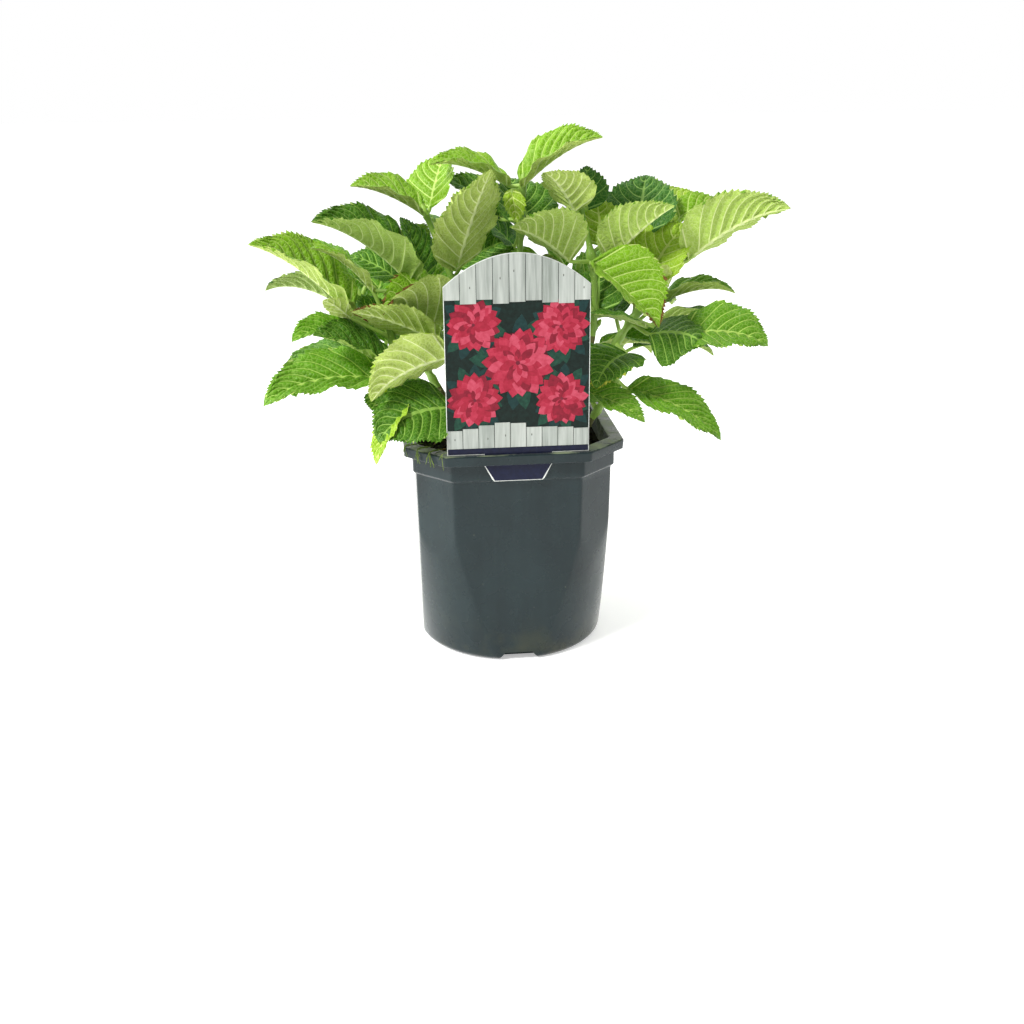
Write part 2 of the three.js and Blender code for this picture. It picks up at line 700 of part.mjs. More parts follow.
place("pot", geometryOf(potSolid()), "pot");
place("soil", geometryOf(soilSolid()), "soil");
place("plant_card", cardGeometry(), "card");

const leaves = growLeaves();
for (const [name, shoot] of Object.entries(SHOOTS)) {
  place(`stem_${name}`, geometryOf(caneSolid(shoot, 0, shoot.leafy)), "cane");
  place(`foliage_${name}`, geometryOf(massSolid(name, leaves)), "leaf");
}

export default root;
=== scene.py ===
import math

import bpy
import numpy as np
from mathutils import Matrix, Vector


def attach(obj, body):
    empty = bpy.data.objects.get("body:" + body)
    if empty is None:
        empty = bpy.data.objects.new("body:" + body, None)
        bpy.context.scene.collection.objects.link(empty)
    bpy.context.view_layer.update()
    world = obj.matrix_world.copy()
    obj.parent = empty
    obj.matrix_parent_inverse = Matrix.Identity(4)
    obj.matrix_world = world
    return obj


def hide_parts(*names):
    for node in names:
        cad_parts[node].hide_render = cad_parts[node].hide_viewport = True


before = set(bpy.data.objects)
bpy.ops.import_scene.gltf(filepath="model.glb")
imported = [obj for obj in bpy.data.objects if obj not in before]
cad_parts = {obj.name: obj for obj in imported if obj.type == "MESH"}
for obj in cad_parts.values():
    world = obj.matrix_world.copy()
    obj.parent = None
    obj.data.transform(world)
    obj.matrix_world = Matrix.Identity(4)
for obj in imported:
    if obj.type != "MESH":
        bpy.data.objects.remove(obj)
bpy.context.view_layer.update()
METRE = 0.001

# Pot, soil and card, as in the solids.
GAP = 0.3
RIM_HEIGHT = 129
RIM_HALF = 62.5
LIP_HEIGHT = 5.7
LIP_THICK = 1.5
LEDGE_THICK = 1.6
NECK_HALF = 57.6
NECK_BOTTOM = 113.5
WALL_TOP_HALF = 56
FOOT_RADIUS = 54.2
FOOT_ROUNDING = 4
WALL = 1.6
FLOOR = 2
FLAT_SHARE = 0.64
ROUND_AT_FOOT = 1
ROUND_GROWTH = 0.121
NOTCH_TOP_WIDTH = 16
NOTCH_FOOT_WIDTH = 24
NOTCH_HEIGHT = 5
NOTCH_DEPTH = 8
SOIL_TOP = 119
CARD_WIDTH = 78
CARD_SIDE_HEIGHT = 92
CARD_ARCH = 17
CARD_THICK = 0.8
CARD_FROM_AXIS = 59.3
TONGUE_WIDTH = 38
TONGUE_FOOT_WIDTH = 27
TONGUE_BOTTOM = 113.5
SLOT_CLEARANCE = 0.35

# Growth, as in the solids.
CANE_RADIUS = 2.6
CANE_TIP_RADIUS = 1.5
STALK_RADIUS = 1.15
LEAF_WIDEST = 0.4
OUTLINE_POWER = 0.62
TIP_CURL = 0.35
STALK_SHARE = 0.14
SPINE_STEPS = 24
SEED = 7
PAIR_STEP_DEG = 90
PAIR_JITTER_DEG = 22
TRIES = 30
TRY_SPREAD_DEG = 6
TRY_STALK = 0.8
TRY_SHRINK = 0.011
FILL_LENGTH = 62
FILL_WIDTH_SHARE = 0.6
STALK_LENGTH = 15
SIZE_SPREAD = 0.3
RISE_RANGE = (0, 50)
RISE_SPREAD = 24
STALK_STEEPER = 12
ARCH_RANGE = (45, 80)
FOLD_RANGE = (12, 34)
ROLL_SPREAD = 40
FILL_CLEARANCE = 5.5
STALK_SAMPLES = (0.4, 0.7)
CANE_CLEARANCE = 5
CANE_SAMPLES = 24
EDGE_HALF = 0.7
CROWN_HALF_WIDTH = 152
CROWN_HALF_DEPTH = 128
CROWN_TOP = 270
TOP_SLOPE_BACK = 0.3
TOP_SLOPE_ASIDE = 0.18
LOWEST_TIP = 112
OVER_RIM = 6
BESIDE_POT = 3
BEHIND_CARD = 8


def lerp(low, high, share):
    return (1 - share) * low + share * high


def smoothstep(x, low, high):
    t = np.clip((x - low) / (high - low), 0, 1)
    return t * t * (3 - 2 * t)


def random_from(seed):
    """Draws numbers from 0 to 1, the same ones as the solids' rule draws from that seed."""
    mask = 0xFFFFFFFF
    state = seed & mask

    def draw():
        nonlocal state
        state = (state + 0x6D2B79F5) & mask
        t = state
        t = ((t ^ (t >> 15)) * (t | 1)) & mask
        t ^= (t + (((t ^ (t >> 7)) * (t | 61)) & mask)) & mask
        return ((t ^ (t >> 14)) & mask) / (mask + 1)

    return draw


def drawn(span, share):
    """The value at a drawn share of a span, which is given as its least and what it adds at most."""
    least, more = span
    return least + more * share


# Meshes.


class Pile:
    """Points, faces and the material of each face, gathered into one mesh."""

    def __init__(self):
        self.points = []
        self.loops = []
        self.sizes = []
        self.looks = []
        self.count = 0
        self.materials = []

    def look(self, material):
        if material not in self.materials:
            self.materials.append(material)
        return self.materials.index(material)

    def add(self, points, faces, materials):
        """faces is an array of rows of equally many corners, or a list of such lists. materials is
        one material, or an array of this pile's look() numbers."""
        points = np.asarray(points, float).reshape(-1, 3)
        if isinstance(faces, list):
            sizes = [len(face) for face in faces]
            loops = [corner for face in faces for corner in face]
        else:
            sizes = [faces.shape[1]] * len(faces)
            loops = faces.reshape(-1)
        self.points.append(points)
        self.loops.append(np.asarray(loops, int) + self.count)
        self.sizes.append(np.asarray(sizes, int))
        if isinstance(materials, np.ndarray):
            self.looks.append(materials)
        else:
            self.looks.append(np.full(len(sizes), self.look(materials)))
        self.count += len(points)

    def mesh(self, name, sharp_deg):
        made = bpy.data.meshes.new(name)
        points = np.concatenate(self.points) * METRE
        loops = np.concatenate(self.loops)
        sizes = np.concatenate(self.sizes)
        made.vertices.add(len(points))
        made.vertices.foreach_set("co", points.reshape(-1))
        made.loops.add(len(loops))
        made.loops.foreach_set("vertex_index", loops)
        made.polygons.add(len(sizes))
        starts = np.concatenate([[0], np.cumsum(sizes)[:-1]])
        made.polygons.foreach_set("loop_start", starts)
        for material in self.materials:
            made.materials.append(material)
        made.polygons.foreach_set("material_index", np.concatenate(self.looks))
        made.update(calc_edges=True)
        made.validate()
        finish_shading(made, sharp_deg)
        return made


def finish_shading(mesh, sharp_deg):
    mesh.polygons.foreach_set("use_smooth", np.ones(len(mesh.polygons), bool))
    mesh.set_sharp_from_angle(angle=math.radians(sharp_deg))


def add_object(name, data):
    made = bpy.data.objects.new(name, data)
    bpy.context.scene.collection.objects.link(made)
    return made


def put(name, mesh, slot, *nodes):
    """Places a piece that rides on the plant and stands for these nodes of the solids."""
    piece = add_object(name, mesh)
    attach(piece, "root")
    if nodes:
        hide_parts(*nodes)


def grid_faces(index):
    """Quads over a grid of point numbers, facing along rows x columns."""
    corners = [index[:-1, :-1], index[1:, :-1], index[1:, 1:], index[:-1, 1:]]
    return np.stack(corners, -1).reshape(-1, 4)


def ring_faces(rings, count):
    """Quads between rings of equally many points, each turning left about the way forward."""
    index = np.arange(rings * count).reshape(rings, count)
    index = np.concatenate([index, index[:, :1]], axis=1)
    return grid_faces(index)[:, ::-1]


def capped_faces(rings, sides):
    """Faces of a closed body of rings, whose last two points are the middles of its ends."""
    faces = [list(quad) for quad in ring_faces(rings, sides)]
    start, end, last = rings * sides, rings * sides + 1, (rings - 1) * sides
    for j in range(sides):
        k = (j + 1) % sides
        faces += [[start, k, j], [end, last + j, last + k]]
    return faces


# A way that no tube runs in, across which its seam is laid.
SEAM_SIDE = (0.31, 0.9, 0.13)
DOME = 0.5


def unit(v):
    return v / np.maximum(np.linalg.norm(v, axis=-1, keepdims=True), 1e-9)


def tube(pile, path, radii, sides, material, relief=None):
    """A closed tube along a path, with domed ends. relief is added to the radius, ring by ring."""
    path = np.asarray(path, float)
    forward = unit(np.gradient(path, axis=0))
    side = np.empty_like(forward)
    side[0] = unit(np.cross(forward[0], SEAM_SIDE))
    for i in range(1, len(path)):
        side[i] = unit(side[i - 1] - forward[i] * np.dot(side[i - 1], forward[i]))
    up = np.cross(forward, side)
    angle = math.tau * np.arange(sides) / sides
    r = np.asarray(radii, float)[:, None] + (0 if relief is None else relief)
    ring = side[:, None] * np.cos(angle)[None, :, None] + up[:, None] * np.sin(angle)[None, :, None]
    points = path[:, None] + ring * r[..., None]
    domes = [path[0] - forward[0] * radii[0] * DOME, path[-1] + forward[-1] * radii[-1] * DOME]
    pile.add(np.concatenate([points.reshape(-1, 3), domes]), capped_faces(len(path), sides), material)


def bezier(a, b, c, shares):
    t = np.asarray(shares, float)[:, None]
    a, b, c = (np.asarray(p, float) for p in (a, b, c))
    return a * (1 - t) ** 2 + 2 * b * t * (1 - t) + c * t**2


# Materials.


def linear(text):
    """A colour written as #rrggbb, as linear light."""
    values = [int(text[i : i + 2], 16) / 255 for i in (1, 3, 5)]
    return tuple(v / 12.92 if v <= 0.04045 else ((v + 0.055) / 1.055) ** 2.4 for v in values) + (1,)


class Look:
    """A material under construction, with its Principled shader."""

    def __init__(self, name, roughness, gloss, **sockets):
        self.material = bpy.data.materials.new(name)
        self.material.use_nodes = True
        self.tree = self.material.node_tree
        self.shader = self.tree.nodes["Principled BSDF"]
        self.shader.inputs["Roughness"].default_value = roughness
        self.shader.inputs["Specular IOR Level"].default_value = gloss
        for socket, value in sockets.items():
            self.shader.inputs[socket.replace("_", " ")].default_value = value
        self.place = self.tree.nodes.new("ShaderNodeTexCoord").outputs["Object"]

    def node(self, kind, inputs=None, **settings):
        made = self.tree.nodes.new(kind)
        for name, value in settings.items():
            setattr(made, name, value)
        for socket, value in (inputs or {}).items():
            if isinstance(value, bpy.types.NodeSocket):
                self.tree.links.new(value, made.inputs[socket])
            else:
                made.inputs[socket].default_value = value
        return made

    def stretched(self, scale):
        """Places measured with this scale along x, y and z."""
        return self.node("ShaderNodeMapping", {"Vector": self.place, "Scale": scale}).outputs[0]

    def noise(self, scale, detail, roughness=0.55, stretch=None):
        place = self.stretched(stretch) if stretch else self.place
        inputs = {"Vector": place, "Scale": scale, "Detail": detail, "Roughness": roughness}
        return self.node("ShaderNodeTexNoise", inputs).outputs["Fac"]

    def cells(self, scale, feature="F1", place=None):
        inputs = {"Vector": place or self.place, "Scale": scale}
        return self.node("ShaderNodeTexVoronoi", inputs, feature=feature).outputs["Distance"]

    def patches(self, scale, detail, *limits, **more):
        """Noise, spread from its low and high limit to 0 and 1, or to the two values after them."""
        return self.spread(self.noise(scale, detail, **more), *limits)

    def spread(self, value, low, high, to_low=0.0, to_high=1.0):
        inputs = {0: value, 1: low, 2: high, 3: to_low, 4: to_high}
        return self.node("ShaderNodeMapRange", inputs).outputs[0]

    def blend(self, share, *colours):
        first, second = (linear(c) if isinstance(c, str) else c for c in colours)
        inputs = {0: share, 6: first, 7: second}
        return self.node("ShaderNodeMix", inputs, data_type="RGBA").outputs[2]

    def combine(self, operation, first, second, kind="ShaderNodeMath"):
        return self.node(kind, {0: first, 1: second}, operation=operation).outputs[0]

    def times(self, first, second):
        return self.combine("MULTIPLY", first, second)

    def plus(self, first, second):
        return self.combine("ADD", first, second)

    def colour(self, value):
        self.tree.links.new(value, self.shader.inputs["Base Color"])

    def rough(self, value):
        self.tree.links.new(value, self.shader.inputs["Roughness"])

    def bump(self, value, strength, depth):
        inputs = {"Height": value, "Strength": strength, "Distance": depth}
        normal = self.node("ShaderNodeBump", inputs).outputs[0]
        self.tree.links.new(normal, self.shader.inputs["Normal"])


def shade(colour, factor):
    return tuple(min(1, c * factor) for c in colour[:3]) + (1,)


VECTOR_MATH = "ShaderNodeVectorMath"
NET_CELLS = 430
NET_WANDER = 0.0016
NET_SHARE = 0.3
NET_DEPTH = 0.0006
MOTTLE_RANGE = (0.82, 1.14)


def leaf_look(name, text, roughness, net, net_text=None):
    """A leaf surface: its colour mottled a little, quilted between a fine net of veins. net is how
    strongly the net stands out, and net_text its colour."""
    look = Look(name, roughness, 0.17)
    base = linear(text)
    mottle = look.patches(90, 3, 0.35, 0.7)
    fine = look.patches(420, 2, 0.35, 0.7, 0.0, 0.5)
    share = look.times(look.plus(mottle, fine), 0.5)
    colour = look.blend(share, *(shade(base, factor) for factor in MOTTLE_RANGE))
    wander = look.node("ShaderNodeTexNoise", {"Vector": look.place, "Scale": 260.0, "Detail": 2.0})
    bent = look.combine("MULTIPLY", wander.outputs["Color"], (NET_WANDER,) * 3, VECTOR_MATH)
    cells = look.cells(NET_CELLS, "DISTANCE_TO_EDGE", look.combine("ADD", look.place, bent, VECTOR_MATH))
    if net_text:
        colour = look.blend(look.spread(cells, 0.1, 0.02, 0.0, NET_SHARE), colour, net_text)
    look.colour(colour)
    grain = look.times(look.noise(1500, 3), 0.25)
    look.bump(look.plus(look.spread(cells, 0.0, 0.3), grain), net, NET_DEPTH)
    look.rough(look.patches(260, 3, 0.3, 0.75, roughness - 0.07, roughness + 0.1))
    return look.material


# For each tone: upper side, its veins, underside, its veins. Besides the leaves' own differences, the
# darker tones partly stand for painted shade deep in the crown, and the undersides, pale by nature, are
# lighter still as painted light shining through the leaf.
TONES = {
    "lime": ("#96bc2a", "#d2e482", "#bad068", "#dee9a8"),
    "bright": ("#7bab1f", "#c0d974", "#b2c962", "#d9e6a0"),
    "mid": ("#5f941b", "#b2d166", "#a9c55c", "#d2e098"),
    "dark": ("#437214", "#93ba54", "#9bb856", "#c4d68a"),
    "blue": ("#3b6c23", "#8ab05a", "#95ae5c", "#bdce8a"),
}
# For each of these four: its roughness, how strongly its fine net of veins stands out, and which
# of the four colours the net has.
TONE_PARTS = {
    "upper": (0.4, 0.55, 1),
    "upper_vein": (0.45, 0.2, None),
    "under": (0.6, 0.5, 3),
    "under_vein": (0.58, 0.2, None),
}


def make_leaf_looks():
    looks = {}
    for tone, colours in TONES.items():
        for (part, finish), colour in zip(TONE_PARTS.items(), colours):
            roughness, net, veins = finish
            net_text = colours[veins] if veins else None
            looks[tone, part] = leaf_look(f"leaf_{tone}_{part}", colour, roughness, net, net_text)
    looks["scorch"] = leaf_look("leaf_scorch", "#7a5a2c", 0.75, 0.7)
    looks["yellowed"] = leaf_look("leaf_yellowed", "#a9b23c", 0.6, 0.5)
    return looks


def bark_look():
    """Cane bark: green-brown with long pale lenticels."""
    look = Look("cane_bark", 0.62, 0.35)
    tone = look.blend(look.noise(70, 4), "#55662c", "#75703a")
    streaks = look.patches(260, 5, 0.35, 0.72, stretch=(1, 1, 0.18))
    tone = look.blend(streaks, tone, "#4a4526")
    specks = look.spread(look.cells(330, place=look.stretched((1, 1, 0.45))), 0.22, 0.14)
    look.colour(look.blend(specks, tone, "#a9a071"))
    relief = look.plus(look.times(streaks, 0.6), specks)
    look.bump(relief, 0.6, 0.0004)
    look.rough(look.patches(300, 3, 0.3, 0.7, 0.5, 0.75))
    return look.material


def shoot_look(name, low, high, speck):
    """Green wood of this year: smooth and a little glossy, with small specks."""
    look = Look(name, 0.45, 0.45)
    tone = look.blend(look.patches(110, 3, 0.3, 0.7), low, high)
    specks = look.spread(look.cells(520), 0.2, 0.12, 0.0, 0.7)
    look.colour(look.blend(specks, tone, speck))
    look.bump(look.noise(700, 4, stretch=(1, 1, 0.3)), 0.35, 0.0003)
    look.rough(look.patches(300, 3, 0.3, 0.7, 0.36, 0.55))
    return look.material


def pot_look():
    """Dark grey moulded plastic, handled and splashed, with pale algae on top of the rim."""
    look = Look("pot_plastic", 0.3, 0.24, Sheen_Weight=0.6, Sheen_Roughness=0.3)
    height = look.node("ShaderNodeSeparateXYZ", {0: look.place}).outputs["Z"]
    base = look.blend(look.patches(30, 4, 0.3, 0.7), "#1a2628", "#202e30")
    flow = look.patches(120, 5, 0.45, 0.75, 0.0, 0.3, stretch=(1, 1, 0.08))
    base = look.blend(flow, base, "#2a3a3c")
    low = look.spread(height, 0.03, 0.0)
    stain = look.patches(55, 5, 0.46, 0.66)
    base = look.blend(look.times(stain, look.times(low, 0.55)), base, "#45462f")
    specks = look.spread(look.cells(90), 0.06, 0.03)
    thin_out = look.patches(24, 2, 0.52, 0.64)
    base = look.blend(look.times(specks, thin_out), base, "#7f8172")
    up = look.node("ShaderNodeSeparateXYZ", {0: look.node("ShaderNodeNewGeometry").outputs["Normal"]})
    faces_up = look.spread(up.outputs["Z"], 0.6, 0.95)
    top = look.spread(height, RIM_HEIGHT * METRE - 0.0015, RIM_HEIGHT * METRE - 0.0003)
    film = look.patches(70, 5, 0.46, 0.64, 0.0, 0.8)
    algae = look.times(look.times(top, faces_up), film)
    look.colour(look.blend(algae, base, "#8a9672"))
    fine = look.noise(900, 4)
    look.bump(look.plus(fine, look.times(algae, 0.8)), 0.03, 0.0004)
    worn = look.patches(70, 4, 0.3, 0.7, 0.2, 0.34)
    look.rough(look.plus(worn, look.times(algae, 0.4)))
    return look.material


def earth_look(name, low, high, roughness=0.95):
    look = Look(name, roughness, 0.2)
    share = look.patches(260, 6, 0.32, 0.68, roughness=0.65)
    look.colour(look.blend(share, low, high))
    look.bump(look.noise(900, 6, 0.7), 0.9, 0.0008)
    return look.material


def card_look(name, low, high, grain):
    """Printed, coated card. grain stretches its streaks, as on pale planks."""
    look = Look(name, 0.42, 0.2)
    streaks = look.patches(420, 5, 0.34, 0.68, roughness=0.6, stretch=grain)
    look.colour(look.blend(streaks, low, high))
    look.bump(look.noise(1400, 3), 0.08, 0.0002)
    look.rough(look.patches(180, 3, 0.3, 0.7, 0.36, 0.5))
    return look.material


# Growth: the solids' own rule.

# Each shoot is a cane that starts in the soil at foot, bends once and ends at top. Its leaves start
# at the share leafy. The rule tries this many pairs of leaves, the first with this heading.
SHOOT_KEYS = ("foot", "bend", "top", "leafy", "pairs", "first")
SHOOT_ROWS = {
    "left": ((-22, -2), (-62, -14, 140), (-67, -12, 190), 0.6, 3, 60),
    "upper_left": ((-12, 8), (-34, -6, 160), (-50, 0, 214), 0.55, 3, 100),
    "middle_left": ((-4, -6), (-20, -4, 190), (-44, 6, 250), 0.6, 3, 80),
    "middle": ((6, 6), (6, 4, 200), (10, 2, 266), 0.6, 3, 90),
    "middle_right": ((24, 2), (66, -6, 175), (42, 0, 254), 0.5, 3, 70),
    "right": ((34, 10), (60, -2, 175), (98, 0, 222), 0.46, 4, 100),
    "low_right": ((30, -20), (48, -24, 135), (60, -24, 160), 0.5, 2, -60),
    "low_left": ((-26, -26), (-30, -32, 135), (-34, -34, 158), 0.5, 2, -150),
    "side_left": ((-32, 14), (-72, 28, 145), (-84, 40, 198), 0.4, 6, 160),
    "side_right": ((40, 22), (70, 34, 155), (92, 46, 200), 0.4, 6, 20),
    "back_left": ((-16, 28), (-36, 48, 165), (-48, 60, 206), 0.4, 7, 120),
    "back_right": ((18, 28), (36, 48, 165), (50, 60, 208), 0.4, 7, 60),
    "back_middle": ((-4, 32), (-4, 62, 160), (-4, 76, 196), 0.4, 7, 90),
    "back_top": ((0, 18), (-2, 26, 200), (-6, 34, 236), 0.6, 5, 90),
    "low_back": ((8, 38), (10, 50, 148), (12, 84, 168), 0.4, 4, 50),
    "low_back_left": ((-28, 34), (-38, 44, 146), (-64, 66, 172), 0.4, 4, 90),
    "low_back_right": ((30, 34), (40, 46, 144), (64, 70, 170), 0.4, 4, 90),
}
SHOOTS = {name: dict(zip(SHOOT_KEYS, row)) for name, row in SHOOT_ROWS.items()}


def cane_point(shoot, share):
    foot = (*shoot["foot"], SOIL_TOP + GAP)
    return bezier(foot, shoot["bend"], shoot["top"], np.atleast_1d(share))


def leaf(shoot, share, base, heading, rise, length, width, arch, fold, roll, tone="", marks=None):
    made = dict(shoot=shoot, share=share, base=np.array(base, float), heading=heading, rise=rise)
    made.update(length=length, width=width, arch=arch, fold=fold, roll=roll)
    return {**made, "tone": tone, **(marks or {})}


def leaf_spine(one, u):
    """At shares u of a leaf's length: points on the midrib, the way across to the leaf's left, and
    the way out of its upper side."""
    middle = u[:, None] * (np.arange(SPINE_STEPS) + 0.5) / SPINE_STEPS

    def climb_at(share):
        bent = share * (1 - TIP_CURL) + TIP_CURL * share**4
        return np.radians(one["rise"] - one["arch"] * bent)

    along = (np.cos(climb_at(middle)) * one["length"] * u[:, None] / SPINE_STEPS).sum(1)
    up = (np.sin(climb_at(middle)) * one["length"] * u[:, None] / SPINE_STEPS).sum(1)
    climb = climb_at(u)
    c, s = math.cos(math.radians(one["heading"])), math.sin(math.radians(one["heading"]))
    side = np.tile([-s, c, 0.0], (len(u), 1))
    normal = np.stack([-np.sin(climb) * c, -np.sin(climb) * s, np.cos(climb)], -1)
    roll = math.radians(one["roll"])
    points = one["base"] + np.stack([along * c, along * s, up], -1)
    across = side * math.cos(roll) + normal * math.sin(roll)
    return points, across, normal * math.cos(roll) - side * math.sin(roll)


def outline(u):
    """Share of the leaf's half width at shares u of its length."""
    a = OUTLINE_POWER
    b = a * (1 - LEAF_WIDEST) / LEAF_WIDEST
    peak = LEAF_WIDEST**a * (1 - LEAF_WIDEST) ** b
    return u**a * (1 - u) ** b / peak


def blade_point(one, u, v):
    points, across, out = leaf_spine(one, u)
    half = np.maximum(EDGE_HALF, one["width"] / 2 * outline(u))
    fold = math.radians(one["fold"])
    sideways = (v * half * math.cos(fold))[:, None]
    raised = (np.abs(v) * half * math.sin(fold))[:, None]
    return points + across * sideways + out * raised


def blade_samples(one):
    u, v = np.meshgrid(np.arange(9) / 8, np.arange(-2, 3) / 2, indexing="ij")
    return blade_point(one, u.ravel(), v.ravel())


# Each leaf of the photograph: its place along the shoot, where the stalk ends, then heading, rise,
# length, width, arch, fold, roll and tone, and any old marks. A dark tone on a leaf deep in the crown is
# partly painted shade.
SET_ROWS = [
    ("left", [
        (1, (-88, -12, 198), 194, 52, 70, 46, 35, 36, -22, "bright"),
        (0.95, (-88, -14, 197), 232, 40, 27, 16, 20, 10, 30, "lime"),
        (0.74, (-67, -16, 167), 203, 41, 53, 42, 30, 25, -20, "dark"),
        (0.7, (-69, -22, 163), 195, 16, 74, 40, 56, 22, -25, "mid"),
        (0.68, (-74, -26, 158), 250, -20, 16, 14, 20, 10, 0, "dark"),
        (0.9, (-68, 6, 186), 165, 50, 28, 22, 20, 20, -20, "dark"),
    ]),
    ("upper_left", [
        (1, (-54, -2, 213), 199, 50, 69, 54, 40, 42, -12, "dark"),
        (0.7, (-40, -20, 184), 191, 30, 53, 28, 20, 10, 45, "bright", {"scorch": 0.2}),
        (0.72, (-37, -10, 190), 205, 33, 40, 62, 50, 60, 0, "bright", {"scorch": 0.5}),
        (0.95, (-76, 15, 207), 195, 45, 20, 16, 20, 15, -20, "mid"),
        (0.97, (-60, 16, 212), 160, 35, 34, 28, 30, 15, -30, "dark"),
        (1, (-46, 8, 214), 140, 72, 38, 28, 20, 20, 0, "dark"),
    ]),
    ("middle_left", [
        (1, (-46, 6, 251), 189, 36, 44, 34, 35, 28, -15, "bright"),
        (1, (-42, 9, 253), 50, 68, 34, 38, 15, 15, -10, "bright"),
        (0.8, (-29, -4, 220), -54, 65, 66, 44, 10, 8, 0, "bright"),
        (0.84, (-20, 8, 237), 80, 72, 20, 14, 10, 10, 0, "bright"),
        (0.8, (-28, 10, 220), 15, 30, 42, 32, 25, 15, 40, "dark"),
    ]),
    ("middle", [
        (1, (3, 4, 265), 191, 34, 49, 32, 45, 26, -12, "bright"),
        (1, (9, 1, 264.5), -18, 46, 54, 38, 38, 32, 22, "bright"),
        (0.86, (-2, 12, 246), 165, 50, 40, 32, 40, 20, -20, "dark"),
        (0.97, (3, -2, 264), -80, -50, 20, 13, 20, 15, 0, "lime"),
        (0.82, (16, 10, 238), 110, 55, 42, 40, 30, 15, 0, "dark"),
        (0.8, (6, 12, 230), 165, 50, 26, 22, 30, 15, -20, "blue"),
    ]),
    ("middle_right", [
        (1, (38, -10, 252), 213, 58, 32, 36, 30, 20, 15, "bright"),
        (1, (47, 6, 251), 85, 80, 25, 25, 15, 12, 0, "blue"),
        (0.8, (35, -12, 225), 208, 41, 46, 50, 30, 30, 25, "mid"),
        (0.83, (55, 4, 231), 95, 76, 28, 34, 30, 15, 0, "lime"),
        (0.82, (58, -6, 223), -33, 49, 51, 42, 20, 40, -20, "mid"),
        (0.78, (45, -20, 226), -29, -34, 53, 54, 15, 35, 20, "bright",
         {"scorch": 0.25, "torn": (-1, 0.66, 0.3)}),
        (0.6, (53, -2, 194), 80, 60, 28, 36, 20, 20, 0, "dark"),
    ]),
    ("right", [
        (1, (103, -4, 222), -22, 44, 66, 46, 38, 30, -42, "mid"),
        (0.9, (78, 12, 234), 70, 62, 42, 44, 25, 15, 0, "blue"),
        (0.97, (92, 26, 238), 30, 45, 36, 34, 40, 15, 20, "lime"),
        (1, (102, 14, 244), 10, 35, 26, 22, 30, 15, 30, "bright"),
        (0.92, (92, -8, 209), 200, 30, 24, 22, 30, 20, 40, "lime"),
        (0.66, (100, -10, 181), -25, 16, 52, 44, 50, 15, 25, "mid"),
        (0.64, (80, -16, 183), -24, 20, 34, 50, 70, -15, 25, "dark"),
        (0.65, (80, -14, 187), 192, 24, 38, 22, 20, 12, 0, "dark"),
        (0.52, (68, -16, 172), 232, 10, 42, 38, 70, 12, -10, "dark", {"yellowed": 0.5}),
    ]),
    ("low_right", [
        (1, (66, -24, 154), -19, -10, 63, 33, 42, 15, 20, "mid"),
        (0.9, (38, -32, 156), -29, -8, 42, 26, 32, 15, 15, "mid"),
    ]),
    ("low_left", [
        (1, (-34, -41, 180), 189, -6, 52, 44, 50, 20, 50, "lime"),
        (0.8, (-34, -35, 149), 203, 12, 50, 50, 70, 5, -30, "dark"),
        (0.7, (-59, -33, 152), 232, -22, 42, 22, 50, 12, 20, "lime"),
    ]),
    ("right", [
        (0.8, (80, 0, 208), 20, 62, 44, 40, 30, 25, 35, "lime"),
        (0.72, (84, 16, 200), 70, 50, 44, 42, 30, 20, 0, "dark"),
    ]),
]
SET_LEAVES = [leaf(shoot, *row) for shoot, rows in SET_ROWS for row in rows]


def inside_space(points):
    """The crown's space, with the pot's rim and the card kept free. Its top slopes down to the back
    and sides."""
    x, y, z = points.T
    top = CROWN_TOP - TOP_SLOPE_BACK * y - TOP_SLOPE_ASIDE * np.abs(x)
    over_pot = np.maximum(np.abs(x), np.abs(y)) < RIM_HALF + BESIDE_POT
    lowest = np.where(over_pot, RIM_HEIGHT + OVER_RIM, LOWEST_TIP)
    fits = (x / CROWN_HALF_WIDTH) ** 2 + (y / CROWN_HALF_DEPTH) ** 2 <= 1
    clear_of_card = (np.abs(x) > CARD_WIDTH / 2 + BESIDE_POT) | (y > BEHIND_CARD - CARD_FROM_AXIS)
    return (fits & (z <= top) & (z >= lowest) & clear_of_card).all()


def pair_leaf(name, share, heading, attempt, draw):
    """A leaf that the rule grows. The lower ones reach out, the upper ones stand up. A later try is
    smaller, on a longer stalk."""
    size = (1 + (draw() - 0.5) * SIZE_SPREAD) * (1 - TRY_SHRINK * attempt)
    rise = lerp(*RISE_RANGE, share) + (draw() - 0.5) * RISE_SPREAD
    stalk = STALK_LENGTH * size + TRY_STALK * attempt
    climb, turn = math.radians(rise + STALK_STEEPER), math.radians(heading)
    way = (math.cos(climb) * math.cos(turn), math.cos(climb) * math.sin(turn), math.sin(climb))
    base = cane_point(SHOOTS[name], share)[0] + stalk * np.array(way)
    length = FILL_LENGTH * size
    arch = lerp(*ARCH_RANGE, draw())
    fold = lerp(*FOLD_RANGE, draw())
    roll = (draw() - 0.5) * ROLL_SPREAD
    width = length * FILL_WIDTH_SHARE
    return leaf(name, share, base, heading, rise, length, width, arch, fold, roll)


def stalk_samples(one):
    node = cane_point(SHOOTS[one["shoot"]], one["share"])[0]
    return np.array([node + (one["base"] - node) * share for share in STALK_SAMPLES])


def nearest(points, others):
    return np.sqrt(((points[:, None] - others[None]) ** 2).sum(-1).min())


def first_that_fits(name, share, heading, draw, taken, canes):
    for i in range(TRIES):
        turned = heading + (draw() - 0.5) * (PAIR_JITTER_DEG + TRY_SPREAD_DEG * i)
        one = pair_leaf(name, share, turned, i, draw)
        surface = blade_samples(one)
        samples = np.concatenate([surface, stalk_samples(one)])
        clear = nearest(samples, np.concatenate(taken)) > FILL_CLEARANCE
        if clear and nearest(surface, canes) > CANE_CLEARANCE and inside_space(surface):
            return one, samples
    return None


